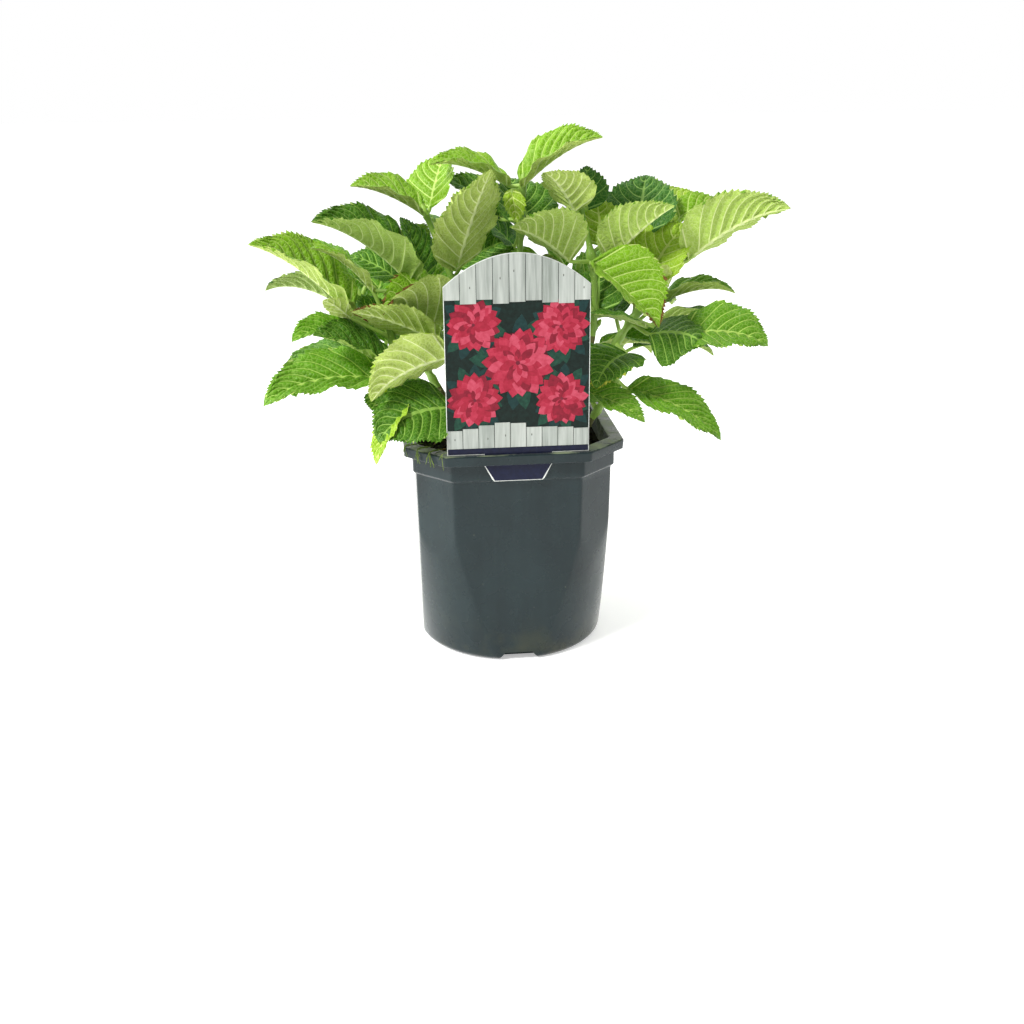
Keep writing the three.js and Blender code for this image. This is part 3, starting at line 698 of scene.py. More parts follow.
def grow_leaves():
    draw = random_from(SEED)
    shares = np.arange(CANE_SAMPLES + 1) / CANE_SAMPLES
    canes = np.concatenate([cane_point(shoot, shares) for shoot in SHOOTS.values()])
    grown = list(SET_LEAVES)
    taken = [np.concatenate([blade_samples(one), stalk_samples(one)]) for one in grown]
    for name, shoot in SHOOTS.items():
        for pair in range(shoot["pairs"]):
            share = lerp(shoot["leafy"] + 0.1, 1, pair / (shoot["pairs"] - 1))
            turn = shoot["first"] + PAIR_STEP_DEG * pair
            for heading in (turn, turn + 180):
                found = first_that_fits(name, share, heading, draw, taken, canes)
                if found:
                    grown.append(found[0])
                    taken.append(found[1])
    return grown


# Leaves in full: serrated blades, quilted between arching veins.

# A blade longer than this has so many pairs of side veins.
VEIN_PAIRS = ((60, 9), (44, 8), (30, 7), (0, 5))
FIRST_VEIN = 0.03
VEIN_SPAN = 0.84
VEIN_CROWDING = 0.96
VEIN_LEAN = 0.85
VEIN_BEND = 1.25
VEIN_HALF = 0.42
VEIN_FADE = 0.6
VEIN_REACH = 0.9
VEIN_DEPTH = 0.26
SIDE_SLIP = 0.056
SLIP_RANGE = (0.04, 0.25)
ROWS_BETWEEN = 6
RIB_COLUMN = 0.05
HALF_COLUMNS = (0.1, 0.2, 0.31, 0.42, 0.53, 0.64, 0.75, 0.85, 0.93, 1.0)
MIDRIB_HALF = 0.75
MIDRIB_TAPER = 0.75
CREASE = 0.05
EDGE_CURL = 0.1
TIP_PINCH = 0.22
TIP_RANGE = (0.74, 0.97)
LEAST_HALF = (0.8, 0.12)
# Relief grows from the midrib out, fades at the margin, and needs a blade of some half width.
QUILT = 1.7
QUILT_FROM_RIB = (0.0, 0.12)
QUILT_FADE = 0.55
QUILT_SMALL = 1.15
QUILT_HALF = (1.0, 7.0)
WAVE_HALF = (2.0, 12.0)
SIDE_RIB_HALF = (1.0, 6.0)
BLADE_THICK = 0.42
EDGE_THINNER = 0.45
WAVE = 1.5
# A span, as for drawn().
WAVE_TURNS = (2.2, 1.6)
USUAL_LENGTH = 70
TEAR_WIDTH = 0.05
TOOTH = 1.5
TOOTH_INSIDE = 0.3
TOOTH_LEAN = 0.9
TEETH_BEGIN = (0.05, 0.25)
TEETH_END = (0.93, 1)
FINE_TEETH_FROM = 44
# How far the margin stands out at each row between two veins: three teeth, or two.
THREE_TEETH = (0, 1, 0, 1, 0, 1, 0)
TWO_TEETH = (0, 0.55, 1, 0, 0.55, 1, 0)
# The edge of an old mark: how far it reaches, how uneven it is, and its waves along the leaf.
MARK_REACH = 0.11
MARK_UNEVEN = 0.09
MARK_WAVES = (23, 41, 67)
MARK_TOWARDS_BASE = 0.35


def blade_grid(one, draw):
    """Shares u and v of a blade's grid, whose rows follow its side veins, and what each row is."""
    count = next(pairs for longer, pairs in VEIN_PAIRS if one["length"] > longer)
    marks = FIRST_VEIN + VEIN_SPAN * (np.arange(count) / (count - 1)) ** VEIN_CROWDING
    edges = np.concatenate([[0], marks, [1]])
    steps = np.arange(ROWS_BETWEEN + 1) / ROWS_BETWEEN
    beside = np.array(HALF_COLUMNS)
    half = np.concatenate([-beside[::-1], [-RIB_COLUMN, 0, RIB_COLUMN], beside])
    taper = VEIN_HALF / one["length"] * (1 - VEIN_FADE * np.abs(half))
    rows = []
    for k in range(count + 1):
        start = edges[k] + (k > 0) * taper
        end = edges[k + 1] - (k < count) * taper
        rows.append(start + (end - start) * steps[:, None])
    s = np.concatenate(rows)
    v = np.tile(half, (len(s), 1))
    ahead = SIDE_SLIP * (draw() - 0.5)
    slip = ahead * np.sign(v) * smoothstep(np.abs(v), *SLIP_RANGE) * 4 * s * (1 - s)
    u = np.clip(s + VEIN_LEAN * np.abs(v) ** VEIN_BEND * np.sqrt(s) * (1 - s) + slip, 0, 1)
    bulge = np.tile(np.sin(np.pi * steps), count + 1)
    teeth = np.tile(THREE_TEETH if one["length"] > FINE_TEETH_FROM else TWO_TEETH, count + 1)
    return u, v, bulge[:, None], teeth[:, None]


def blade_half(one, u, v):
    """Half the blade's width, pinched towards its tip, and notched where the leaf is torn."""
    half = one["width"] / 2 * outline(u) * (1 - TIP_PINCH * smoothstep(u, *TIP_RANGE))
    half = np.maximum(half, lerp(*LEAST_HALF, u))
    if "torn" in one:
        side, where, depth = one["torn"]
        half = half * (1 - depth * np.exp(-(((u - where) / TEAR_WIDTH) ** 2)) * (np.sign(v) == side))
    return half


def blade_surface(one, draw):
    """The middle surface of a blade, its normals, its relief, the grid it lies on and its half
    widths."""
    u, v, bulge, teeth = blade_grid(one, draw)
    size = one["length"] / USUAL_LENGTH
    half = blade_half(one, u, v)
    tooth = TOOTH * math.sqrt(size) * smoothstep(u, *TEETH_BEGIN) * (1 - smoothstep(u, *TEETH_END))
    at_margin = np.abs(v) == 1
    margin = at_margin * teeth * tooth
    reach = half * np.abs(v) + margin - TOOTH_INSIDE * tooth * at_margin
    flat_u = np.clip(u + margin * TOOTH_LEAN / one["length"], 0, 1).ravel()
    points, across, out = leaf_spine(one, flat_u)
    fold = math.radians(one["fold"])
    crease = np.sqrt(v**2 + CREASE**2) - CREASE
    raised = half * crease * math.sin(fold) * (1 + EDGE_CURL * (1 - v**2))
    sideways = np.sign(v) * reach * math.cos(fold)
    surface = points + across * sideways.reshape(-1, 1) + out * raised.reshape(-1, 1)
    surface = surface.reshape(*u.shape, 3)
    normals = unit(np.cross(np.gradient(surface, axis=0), np.gradient(surface, axis=1)))
    near_rib = smoothstep(np.abs(v), *QUILT_FROM_RIB)
    quilt = QUILT * min(1, size * QUILT_SMALL) * bulge * near_rib * (1 - QUILT_FADE * np.abs(v) ** 4)
    quilt = quilt * smoothstep(half, *QUILT_HALF)
    turns, right, left = drawn(WAVE_TURNS, draw()), draw() * math.tau, draw() * math.tau
    wave = WAVE * size * np.abs(v) ** 2 * np.sin(math.tau * turns * u + np.where(v > 0, right, left))
    return surface, normals, quilt + wave * smoothstep(half, *WAVE_HALF), u, v, half


def blade(pile, one, looks, draw):
    surface, normals, relief, u, v, half = blade_surface(one, draw)
    rows, columns = u.shape
    thick = BLADE_THICK * (1 - EDGE_THINNER * np.abs(v)) / 2
    upper = surface + normals * (relief + thick)[..., None]
    is_vein = np.zeros(rows, bool)
    is_vein[ROWS_BETWEEN :: ROWS_BETWEEN + 1] = True
    is_vein[ROWS_BETWEEN + 1 :: ROWS_BETWEEN + 1] = True
    rib = np.where(np.abs(v) <= RIB_COLUMN, MIDRIB_HALF * (1 - MIDRIB_TAPER * u), 0)
    side_rib = VEIN_DEPTH * is_vein[:, None] * (1 - np.abs(v)) * smoothstep(half, *SIDE_RIB_HALF)
    lower = surface + normals * (relief - thick - np.maximum(rib, side_rib))[..., None]
    number = np.arange(rows * columns).reshape(rows, columns)
    below = number.copy()
    below[1:-1, 1:-1] = number.size + np.arange((rows - 2) * (columns - 2)).reshape(rows - 2, -1)
    points = np.concatenate([upper.reshape(-1, 3), lower[1:-1, 1:-1].reshape(-1, 3)])
    faces = np.concatenate([grid_faces(number), grid_faces(below)[:, ::-1]])
    pile.add(points, faces, blade_colours(pile, one, looks, draw, u, v, is_vein))


def blade_colours(pile, one, looks, draw, u, v, is_vein):
    """The look of each face: the leaf's tone above and below, with its veins, and any old marks."""
    middle_v = (v[:-1, :-1] + v[1:, 1:]) / 2
    middle_u = (u[:-1, :-1] + u[1:, 1:]) / 2
    vein_row = (is_vein[:-1] & is_vein[1:])[:, None]
    vein = (vein_row & (np.abs(middle_v) < VEIN_REACH)) | (np.abs(middle_v) < RIB_COLUMN)
    sides = []
    for part in ("upper", "under"):
        side = np.full(middle_v.shape, pile.look(looks[one["tone"], part]))
        side[vein] = pile.look(looks[one["tone"], part + "_vein"])
        for mark in ("scorch", "yellowed"):
            if mark in one:
                edge = 1 - np.abs(middle_v) + MARK_TOWARDS_BASE * (1 - middle_u)
                phases = [draw() * 6 for _ in MARK_WAVES]
                ragged = sum(np.sin(middle_u * f + p) for f, p in zip(MARK_WAVES, phases))
                side[edge < MARK_REACH + one[mark] * MARK_UNEVEN * ragged] = pile.look(looks[mark])
        sides.append(side.ravel())
    return np.concatenate(sides)


# Canes, stalks and buds.

RINGS_PER_MM = 0.8
CANE_FINE_SIDES = 16
FINE_SIDES = 10
NODE_SWELL = 0.75
NODE_LENGTH = 2.6
SCARS = (0.12, 0.27, 0.42)
SCAR_CLEAR = 0.04
# Ridges of the bark: depth, how many go round, and how far they turn from ring to ring.
BARK_WAVES = ((0.08, 3, 0.11), (0.05, 5, -0.23), (0.05, 2, 0.9))
# Each stretch of cane draws this many phases. The first ones go to its ridges.
BARK_DRAWS = 6
STALK_SWELL = 0.55
STALK_SWELL_LENGTH = 0.1
STALK_THINS = 0.5
STALK_POINTS = (9, 6)
STALK_SMOOTHING = 3
BUD_LENGTH = 7
BUD_RADIUS = 1.7


def cane_radius(share):
    return lerp(CANE_RADIUS, CANE_TIP_RADIUS, share)


def cane(pile, shoot, start, end, nodes, material, draw):
    """A stretch of cane with swollen nodes and uneven bark."""
    length = np.linalg.norm(np.diff(cane_point(shoot, np.linspace(start, end, 20)), axis=0), axis=1)
    count = max(8, int(length.sum() * RINGS_PER_MM))
    shares = np.linspace(start, end, count)
    radii = cane_radius(shares)
    whole = np.linalg.norm(np.array(shoot["top"]) - np.array((*shoot["foot"], SOIL_TOP)))
    for node in nodes:
        radii = radii + NODE_SWELL * np.exp(-(((shares - node) * whole / NODE_LENGTH) ** 2))
    angle = math.tau * np.arange(CANE_FINE_SIDES) / CANE_FINE_SIDES
    phases = [draw() * math.tau for _ in range(BARK_DRAWS)]
    along = np.arange(count)[:, None]
    relief = 0
    for (depth, ridges, turn), phase in zip(BARK_WAVES, phases):
        relief = relief + depth * np.sin(ridges * angle + along * turn + phase)
    tube(pile, cane_point(shoot, shares), radii, CANE_FINE_SIDES, material, relief)


def stalk(pile, one, material):
    """A leaf stalk, swollen where it clasps the cane, running on as the blade's midrib."""
    node = cane_point(SHOOTS[one["shoot"]], one["share"])[0]
    foot = blade_point(one, np.array([STALK_SHARE]), np.array([0.0]))[0]
    first, second = STALK_POINTS
    way = [np.linspace(node, one["base"], first), np.linspace(one["base"], foot, second)[1:]]
    path = np.concatenate(way)
    for _ in range(STALK_SMOOTHING):
        path[1:-1] = (path[:-2] + 2 * path[1:-1] + path[2:]) / 4
    share = np.linspace(0, 1, len(path))
    swell = STALK_SWELL * np.exp(-((share / STALK_SWELL_LENGTH) ** 2))
    radii = STALK_RADIUS * (1 + swell - STALK_THINS * smoothstep(share, 0.55, 1))
    tube(pile, path, radii, FINE_SIDES, material)


def bud(pile, centre, way, material):
    """A pointed bud at the end of a cane."""
    share = np.linspace(0, 1, 9)
    path = centre + np.outer(share, unit(way) * BUD_LENGTH)
    radii = BUD_RADIUS * np.sin(np.pi * (0.12 + 0.86 * share)) ** 0.8 + 0.05
    tube(pile, path, radii, FINE_SIDES, material)


# The whole plant.

YOUNG_AND_LIT_SPREAD = 0.7
BRIGHT_FROM = 0.95
MID_FROM = 0.6
BLUE_SHARE = 0.3
# The seeds of what is drawn for each filling leaf's tone, each shoot's bark and each blade.
TONE_SEED, BARK_SEED, BLADE_SEED = 900, 300, 500
WOOD_SHARP_DEG = 50
LEAF_SHARP_DEG = 62


def fill_tone(one, draw):
    """Leaves low down get darker tones, partly as painted shade; the ones on top are fresh, and their
    bright tones are partly painted light.
    """
    # Height up the cane sets the tone: darker low down as painted shade, brighter on top partly as
    # painted light.
    young_and_lit = one["share"] + (draw() - 0.5) * YOUNG_AND_LIT_SPREAD
    if young_and_lit > BRIGHT_FROM:
        return "bright"
    if young_and_lit > MID_FROM:
        return "mid"
    return "dark" if draw() > BLUE_SHARE else "blue"


def dress_growth():
    looks = make_leaf_looks()
    bark = bark_look()
    green = shoot_look("green_shoot", "#6f9433", "#86a845", "#b4c47a")
    petiole = shoot_look("leaf_stalk", "#93b84a", "#abc963", "#c9d88f")
    grown = grow_leaves()
    for index, one in enumerate(grown):
        one["order"] = index
        if index >= len(SET_LEAVES):
            one["tone"] = fill_tone(one, random_from(TONE_SEED + index))
    for number, (name, shoot) in enumerate(SHOOTS.items()):
        draw = random_from(BARK_SEED + number)
        own = [one for one in grown if one["shoot"] == name]
        nodes = sorted({one["share"] for one in own})
        scars = [share for share in SCARS if share < shoot["leafy"] - SCAR_CLEAR]
        wood, twigs, blades = Pile(), Pile(), Pile()
        cane(wood, shoot, 0, shoot["leafy"], scars, bark, draw)
        put(f"cane_{name}", wood.mesh(f"cane_{name}", WOOD_SHARP_DEG), "cane", f"stem_{name}")
        cane(twigs, shoot, shoot["leafy"], 1, nodes, green, draw)
        tip = cane_point(shoot, [0.98, 1.0])
        bud(twigs, tip[1], tip[1] - tip[0], petiole)
        for one in own:
            stalk(twigs, one, petiole)
            blade(blades, one, looks, random_from(BLADE_SEED + one["order"]))
        node = f"foliage_{name}"
        put(f"twigs_{name}", twigs.mesh(f"twigs_{name}", WOOD_SHARP_DEG), "cane", node)
        put(f"leaves_{name}", blades.mesh(f"leaves_{name}", LEAF_SHARP_DEG), "leaf", node)


# Pot.

# Steps of the outline over a flat, a cut corner, a round stretch and a softened edge.
FLAT_STEPS = 8
CUT_STEPS = 3
ROUND_STEPS = 8
EDGE_STEPS = 5
EDGE_TURN = 0.024
LEAST_TURN = 0.006
EDGE_ROOM = 0.98
EDGE_SOFTNESS = 200
POT_SIDES = 4 * (FLAT_STEPS + CUT_STEPS + 2 * ROUND_STEPS + 4 * EDGE_STEPS)
POT_SHARP_DEG = 28
CUT_SHARP_DEG = 40
CUT_OVERRUN = 10
SLOT_DEPTH = 4


def ring_angles(height, half):
    """Angles round the pot, closer together where its flats, its cut corners and the round body
    meet."""
    body = half + ROUND_AT_FOOT + ROUND_GROWTH * height
    corner = math.atan(FLAT_SHARE)
    cut = half * (1 + FLAT_SHARE) / math.sqrt(2)
    # Where the flat ends, and the round stretch from there to the cut corner, whose ends are b and c.
    a = min(corner - LEAST_TURN, math.acos(half / body))
    cut_half = math.acos(cut / body) if body > cut else 0
    cut_half = min(max(cut_half, LEAST_TURN), math.pi / 4 - corner - LEAST_TURN)
    b, c = math.pi / 4 - cut_half, math.pi / 4 + cut_half
    middle = min(EDGE_TURN, EDGE_ROOM / 2 * (b - a))
    inner = min(EDGE_TURN, EDGE_ROOM * cut_half)
    ends = [-(a - EDGE_TURN), a - EDGE_TURN, a + middle, b - middle, b + inner]
    ends += [c - inner, c + middle, math.pi / 2 - a - middle, math.pi / 2 - a + EDGE_TURN]
    steps = [FLAT_STEPS, EDGE_STEPS, ROUND_STEPS, EDGE_STEPS, CUT_STEPS, EDGE_STEPS, ROUND_STEPS]
    steps.append(EDGE_STEPS)
    parts = [np.linspace(low, high, n + 1)[:-1] for low, high, n in zip(ends, ends[1:], steps)]
    quarter = np.concatenate(parts)
    return np.concatenate([quarter + turn * math.pi / 2 for turn in range(4)])


def pot_ring(height, half):
    """Points round the pot's outline: a square with cut corners, inside a round body that widens
    upwards, with its edges a little rounded."""
    angle = ring_angles(height, half)
    c, s = np.abs(np.cos(angle)), np.abs(np.sin(angle))
    cut = (c + s) / (1 + FLAT_SHARE)
    body = half / (half + ROUND_AT_FOOT + ROUND_GROWTH * height)
    terms = c**EDGE_SOFTNESS + s**EDGE_SOFTNESS + cut**EDGE_SOFTNESS + body**EDGE_SOFTNESS
    r = half * terms ** (-1 / EDGE_SOFTNESS)
    return np.stack([r * np.cos(angle), r * np.sin(angle), np.full(len(angle), float(height))], -1)


def wall_half(height):
    return lerp(FOOT_RADIUS, WALL_TOP_HALF, height / (NECK_BOTTOM - 2))


def rounded(z, half, turn, radius, steps=12):
    """Profile points round a corner, as (height, half width). turn gives its start and end angle."""
    angles = np.radians(np.linspace(*turn, steps + 1))
    return [(z + radius * math.sin(a), half + radius * math.cos(a)) for a in angles]


def pot_profile():
    """Heights and half widths from the middle of the underside, up outside, and down inside."""
    outer = [(0.9, 3.0), (0.9, 40.0), (0.0, 43.0)]
    outer += rounded(FOOT_ROUNDING, FOOT_RADIUS - FOOT_ROUNDING, (-90, -4), FOOT_ROUNDING, 14)
    outer += [(z, wall_half(z)) for z in np.arange(6, NECK_BOTTOM - 2.5, 2.5)]
    outer += [(NECK_BOTTOM - 2, WALL_TOP_HALF), (NECK_BOTTOM - 1.4, WALL_TOP_HALF + 0.15)]
    outer += [(NECK_BOTTOM - 0.3, NECK_HALF - 0.25), (NECK_BOTTOM + 0.2, NECK_HALF)]
    ledge = RIM_HEIGHT - LEDGE_THICK
    outer += [(z, NECK_HALF) for z in np.linspace(NECK_BOTTOM + 2, ledge - 0.8, 6)]
    outer += [(ledge - 0.2, NECK_HALF + 0.2), (ledge, NECK_HALF + 0.8)]
    lip_inside = RIM_HALF - LIP_THICK
    outer += [(ledge, lip_inside - 0.3), (ledge - 0.4, lip_inside)]
    bottom = RIM_HEIGHT - LIP_HEIGHT
    outer += [(bottom + 0.3, lip_inside), (bottom, lip_inside + 0.3), (bottom, RIM_HALF - 0.7)]
    outer += [(bottom + 0.25, RIM_HALF - 0.35), (bottom + 2, RIM_HALF - 0.2)]
    outer += rounded(RIM_HEIGHT - 0.8, RIM_HALF - 0.8, (0, 90), 0.8)
    inside = WALL_TOP_HALF - WALL
    inner = [(RIM_HEIGHT, inside + 1.2)]
    inner += rounded(RIM_HEIGHT - 0.7, inside + 0.7, (100, 180), 0.7)
    inner += [(z, inside) for z in (124, 119, 115, NECK_BOTTOM - 2)]
    inner += [(z, wall_half(z) - WALL) for z in (100, 88, 78, 64, 50, 36, 22, 10)]
    inner += [(FLOOR + 3, wall_half(6) - WALL - 1), (FLOOR, FOOT_RADIUS - FOOT_ROUNDING - 1)]
    return outer + inner + [(FLOOR, 3.0)]


def lofted(profile):
    """Points and faces of the closed body whose rings follow a profile."""
    rings = [pot_ring(z, half) for z, half in profile]
    ends = [(0, 0, profile[0][0]), (0, 0, profile[-1][0])]
    return np.concatenate([*rings, ends]), capped_faces(len(rings), POT_SIDES)


def prism(outline_points, push, material, pile=None):
    """A closed prism over an outline of points, pushed along a vector."""
    pile = pile or Pile()
    first = np.asarray(outline_points, float)
    if np.cross(first, np.roll(first, -1, axis=0)).sum(0) @ np.asarray(push, float) < 0:
        first = first[::-1]
    count = len(first)
    points = np.concatenate([first, first + np.asarray(push, float)])
    faces = [list(range(count))[::-1], [count + i for i in range(count)]]
    for i in range(count):
        j = (i + 1) % count
        faces.append([i, j, count + j, count + i])
    pile.add(points, faces, material)
    return pile


def cutter(pile, name):
    return add_object(name, pile.mesh(name, CUT_SHARP_DEG))


def notch_cutter(quarter, grow, material):
    foot, top = NOTCH_FOOT_WIDTH / 2 + grow, NOTCH_TOP_WIDTH / 2 + grow
    height = NOTCH_HEIGHT + grow
    right = [(foot, -1), (foot, 0), (top, height)]
    flat = [(-foot, -1), *right, (-top, height), (-foot, 0)]
    inner = NOTCH_DEPTH + grow - FOOT_RADIUS
    turn = quarter * math.pi / 2
    c, s = math.cos(turn), math.sin(turn)
    depth = NOTCH_DEPTH + grow + CUT_OVERRUN
    points = [(x * c - inner * s, x * s + inner * c, z) for x, z in flat]
    return prism(points, (depth * s, -depth * c, 0), material)


def subtract(mesh, cutters, name):
    """mesh less the cutters, as a new mesh."""
    body = add_object(name, mesh)
    for tool in cutters:
        modifier = body.modifiers.new("cut", "BOOLEAN")
        modifier.operation = "DIFFERENCE"
        modifier.solver = "MANIFOLD"
        modifier.object = tool
    shown = body.evaluated_get(bpy.context.evaluated_depsgraph_get())
    made = bpy.data.meshes.new_from_object(shown)
    made.name = name
    for gone in [body, *cutters]:
        bpy.data.objects.remove(gone)
    return made


def dress_pot():
    material = pot_look()
    pile = Pile()
    pile.add(*lofted(pot_profile()), material)
    cutters = [cutter(notch_cutter(q, 0, material), f"notch_{q}") for q in range(4)]
    half_width = TONGUE_WIDTH / 2 + SLOT_CLEARANCE
    half_depth = CARD_THICK / 2 + SLOT_CLEARANCE
    corners = [(-half_width, -half_depth), (half_width, -half_depth), (half_width, half_depth)]
    corners.append((-half_width, half_depth))
    points = [(x, y - CARD_FROM_AXIS, RIM_HEIGHT - SLOT_DEPTH) for x, y in corners]
    cutters.append(cutter(prism(points, (0, 0, 2 * SLOT_DEPTH), material), "card_slot"))
    mesh = subtract(pile.mesh("nursery_pot", CUT_SHARP_DEG), cutters, "nursery_pot")
    finish_shading(mesh, POT_SHARP_DEG)
    put("nursery_pot", mesh, "pot_plastic", "pot")


# Soil.

CRUMBS = 900
MOSS_TUFTS = 150
LITTER = 26
STRANDS = 26
STRANDS_AT_DEG = 224
STRANDS_SPREAD_DEG = 20
STRAND_SIDES = 5
LITTER_SIDES = 6
SOIL_SHARP_DEG = 60
CRUMB_SHARP_DEG = 40
SOIL_SEED = 71
SOIL_INSIDE = WALL + GAP
SOIL_HALF = WALL_TOP_HALF - SOIL_INSIDE
SOIL_FOOT_ROOM = 1.4
SOIL_RINGS = 34
CRUMB_FROM_WALL = 3.2
CRUMB_LIFT = 0.2
CRUMB_FLAT = 0.75
MOSS_FLAT = 0.45
LITTER_REACH = 46
LITTER_FROM_WALL = 3
LITTER_STEPS = 7
LITTER_LIFT = 0.9
LITTER_BEND = 2.5
STRAND_ASIDE = 7
# Spans, each as its least and what a draw adds at most, as for drawn().
CRUMB_SIZE = (0.5, 1.5)
LUMP_STRETCH = (0.7, 0.6)
LUMP_UNEVEN = (0.75, 0.5)
LITTER_HALF_LENGTH = (4, 7)
LITTER_RADIUS = (0.35, 0.25)
STRAND_RADIUS = (0.11, 0.06)
# How far a strand starts inside the rim, how high it arches, how far it drops and how far it ends
# from the rim.
STRAND_INSIDE = (6, 6)
STRAND_ARCH = (0.8, 1.2)
STRAND_DROP = (1.5, 6)
STRAND_OUT = (0.7, 0.9)


def lump_faces():
    """A coarse ball: a cube's corners and the middles of its sides, all on the unit ball, each side
    as four faces."""
    points = [(x, y, z) for x in (-1, 1) for y in (-1, 1) for z in (-1, 1)]
    points += [(a, 0, 0) for a in (-1, 1)]
    points += [(0, a, 0) for a in (-1, 1)]
    points += [(0, 0, a) for a in (-1, 1)]
    points = unit(np.array(points, float))
    faces = []
    for axis in range(3):
        for end in range(2):
            pole = 8 + 2 * axis + end
            corners = [i for i in range(8) if (points[i][axis] > 0) == (end == 1)]
            centre = points[pole]
            first, second = np.eye(3)[(axis + 1) % 3], np.eye(3)[(axis + 2) % 3]
            corners.sort(key=lambda i: math.atan2(points[i] @ second, points[i] @ first))
            if np.dot(np.cross(first, second), centre) < 0:
                corners.reverse()
            faces += [[pole, corners[i], corners[(i + 1) % 4]] for i in range(4)]
    return points, np.array(faces)


LUMP_POINTS, LUMP_FACES = lump_faces()


def lump(pile, centre, radius, flat, material, draw):
    wide, deep, high = (drawn(LUMP_STRETCH, draw()) for _ in range(3))
    stretch = np.array([wide, deep, flat * high])
    uneven = np.array([[drawn(LUMP_UNEVEN, draw())] for _ in LUMP_POINTS])
    turn = draw() * math.tau
    c, s = math.cos(turn), math.sin(turn)
    shape = LUMP_POINTS * uneven * stretch * radius
    x, y = shape[:, 0] * c - shape[:, 1] * s, shape[:, 0] * s + shape[:, 1] * c
    pile.add(np.stack([x, y, shape[:, 2]], -1) + centre, LUMP_FACES, material)


def soil_height(x, y):
    """Height of the soil's surface, with hollows and low mounds."""
    ripple = np.sin(x * 0.21 + 1.3) * np.cos(y * 0.17 - 0.6) * 1.2
    ripple = ripple + np.sin(x * 0.47 + y * 0.39) * 0.6 + np.cos(x * 0.9 - y * 0.71) * 0.35
    return SOIL_TOP - 0.6 + ripple * 0.8


def spot(reach, draw):
    """A place on the soil within reach of the pot's axis."""
    radius, turn = reach * math.sqrt(draw()), draw() * math.tau
    return radius * math.cos(turn), radius * math.sin(turn)


def lay_bed(peat):
    """The bed of potting mix, a gap away from the pot's wall, floor and notches."""
    profile = [(FLOOR + GAP, 3.0), (FLOOR + GAP, FOOT_RADIUS - FOOT_ROUNDING - SOIL_FOOT_ROOM)]
    profile.append((6, wall_half(6) - SOIL_INSIDE - SOIL_FOOT_ROOM))
    profile += [(z, wall_half(z) - SOIL_INSIDE) for z in (12, 22, 36, 50, 64, 78, 88, 100)]
    profile += [(NECK_BOTTOM - 2, SOIL_HALF), (SOIL_TOP - 1.5, SOIL_HALF)]
    profile += [(SOIL_TOP, half) for half in np.linspace(SOIL_HALF - 0.4, 1.5, SOIL_RINGS)]
    points, faces = lofted(profile)
    on_top = points[:, 2] > SOIL_TOP - 0.5
    points[on_top, 2] = soil_height(points[on_top, 0], points[on_top, 1])
    body = Pile()
    body.add(points, faces, peat)
    cutters = [cutter(notch_cutter(q, SOIL_INSIDE, peat), f"soil_notch_{q}") for q in range(4)]
    mesh = subtract(body.mesh("peat_bed", SOIL_SHARP_DEG), cutters, "peat_bed")
    finish_shading(mesh, SOIL_SHARP_DEG)
    put("peat_bed", mesh, "potting_mix", "soil")


def scatter_crumbs(peat, moss, draw):
    """Crumbs of potting mix, then low tufts of moss."""
    crumbs = Pile()
    for number in range(CRUMBS + MOSS_TUFTS):
        x, y = spot(SOIL_HALF - CRUMB_FROM_WALL, draw)
        size = drawn(CRUMB_SIZE, draw() ** 2)
        flat, look = (CRUMB_FLAT, peat) if number < CRUMBS else (MOSS_FLAT, moss)
        lump(crumbs, (x, y, soil_height(x, y) + size * CRUMB_LIFT), size, flat, look, draw)
    put("soil_crumbs", crumbs.mesh("soil_crumbs", CRUMB_SHARP_DEG), "potting_mix")


def scatter_litter(pile, straw, draw):
    """Dead bits of stalk on the soil, their middles bent up a little."""
    shares = np.linspace(0, 1, LITTER_STEPS)
    for _ in range(LITTER):
        x, y = spot(LITTER_REACH, draw)
        way = draw() * math.tau
        reach = drawn(LITTER_HALF_LENGTH, draw())
        dx, dy = reach * math.cos(way), reach * math.sin(way)
        z = soil_height(x, y) + LITTER_LIFT
        middle = (x, y, z + LITTER_BEND * draw())
        path = bezier((x - dx, y - dy, z), middle, (x + dx, y + dy, z), shares)
        if np.abs(path[:, :2]).max() < SOIL_HALF - LITTER_FROM_WALL:
            radii = np.full(LITTER_STEPS, drawn(LITTER_RADIUS, draw()))
            tube(pile, path, radii, LITTER_SIDES, straw)


def hang_strands(pile, grass, draw):
    """Fine strands that hang over the rim at its front left corner."""
    ring = pot_ring(RIM_HEIGHT, RIM_HALF)
    angles = ring_angles(RIM_HEIGHT, RIM_HALF) % math.tau
    shares = np.linspace(0, 1, 5)
    for _ in range(STRANDS):
        corner = math.radians(STRANDS_AT_DEG + STRANDS_SPREAD_DEG * (draw() - 0.5))
        edge = ring[np.abs(angles - corner).argmin()]
        out = unit(np.array([edge[0], edge[1], 0.0]))
        start = edge - out * drawn(STRAND_INSIDE, draw()) + (0, 0, 0.25)
        over = edge + out * 0.35 + (0, 0, drawn(STRAND_ARCH, draw()))
        drop = drawn(STRAND_DROP, draw() ** 1.5)
        aside = np.array([-out[1], out[0], 0.0]) * (draw() - 0.5) * STRAND_ASIDE
        end = edge + out * drawn(STRAND_OUT, draw()) + aside - (0, 0, drop)
        first = bezier(start, (start + over) / 2 + (0, 0, 0.8), over, shares)
        second = bezier(over, over + out * 1.2 - (0, 0, 0.6), end, shares)
        path = np.concatenate([first[:-1], second])
        radii = np.full(len(path), drawn(STRAND_RADIUS, draw()))
        tube(pile, path, radii, STRAND_SIDES, grass)


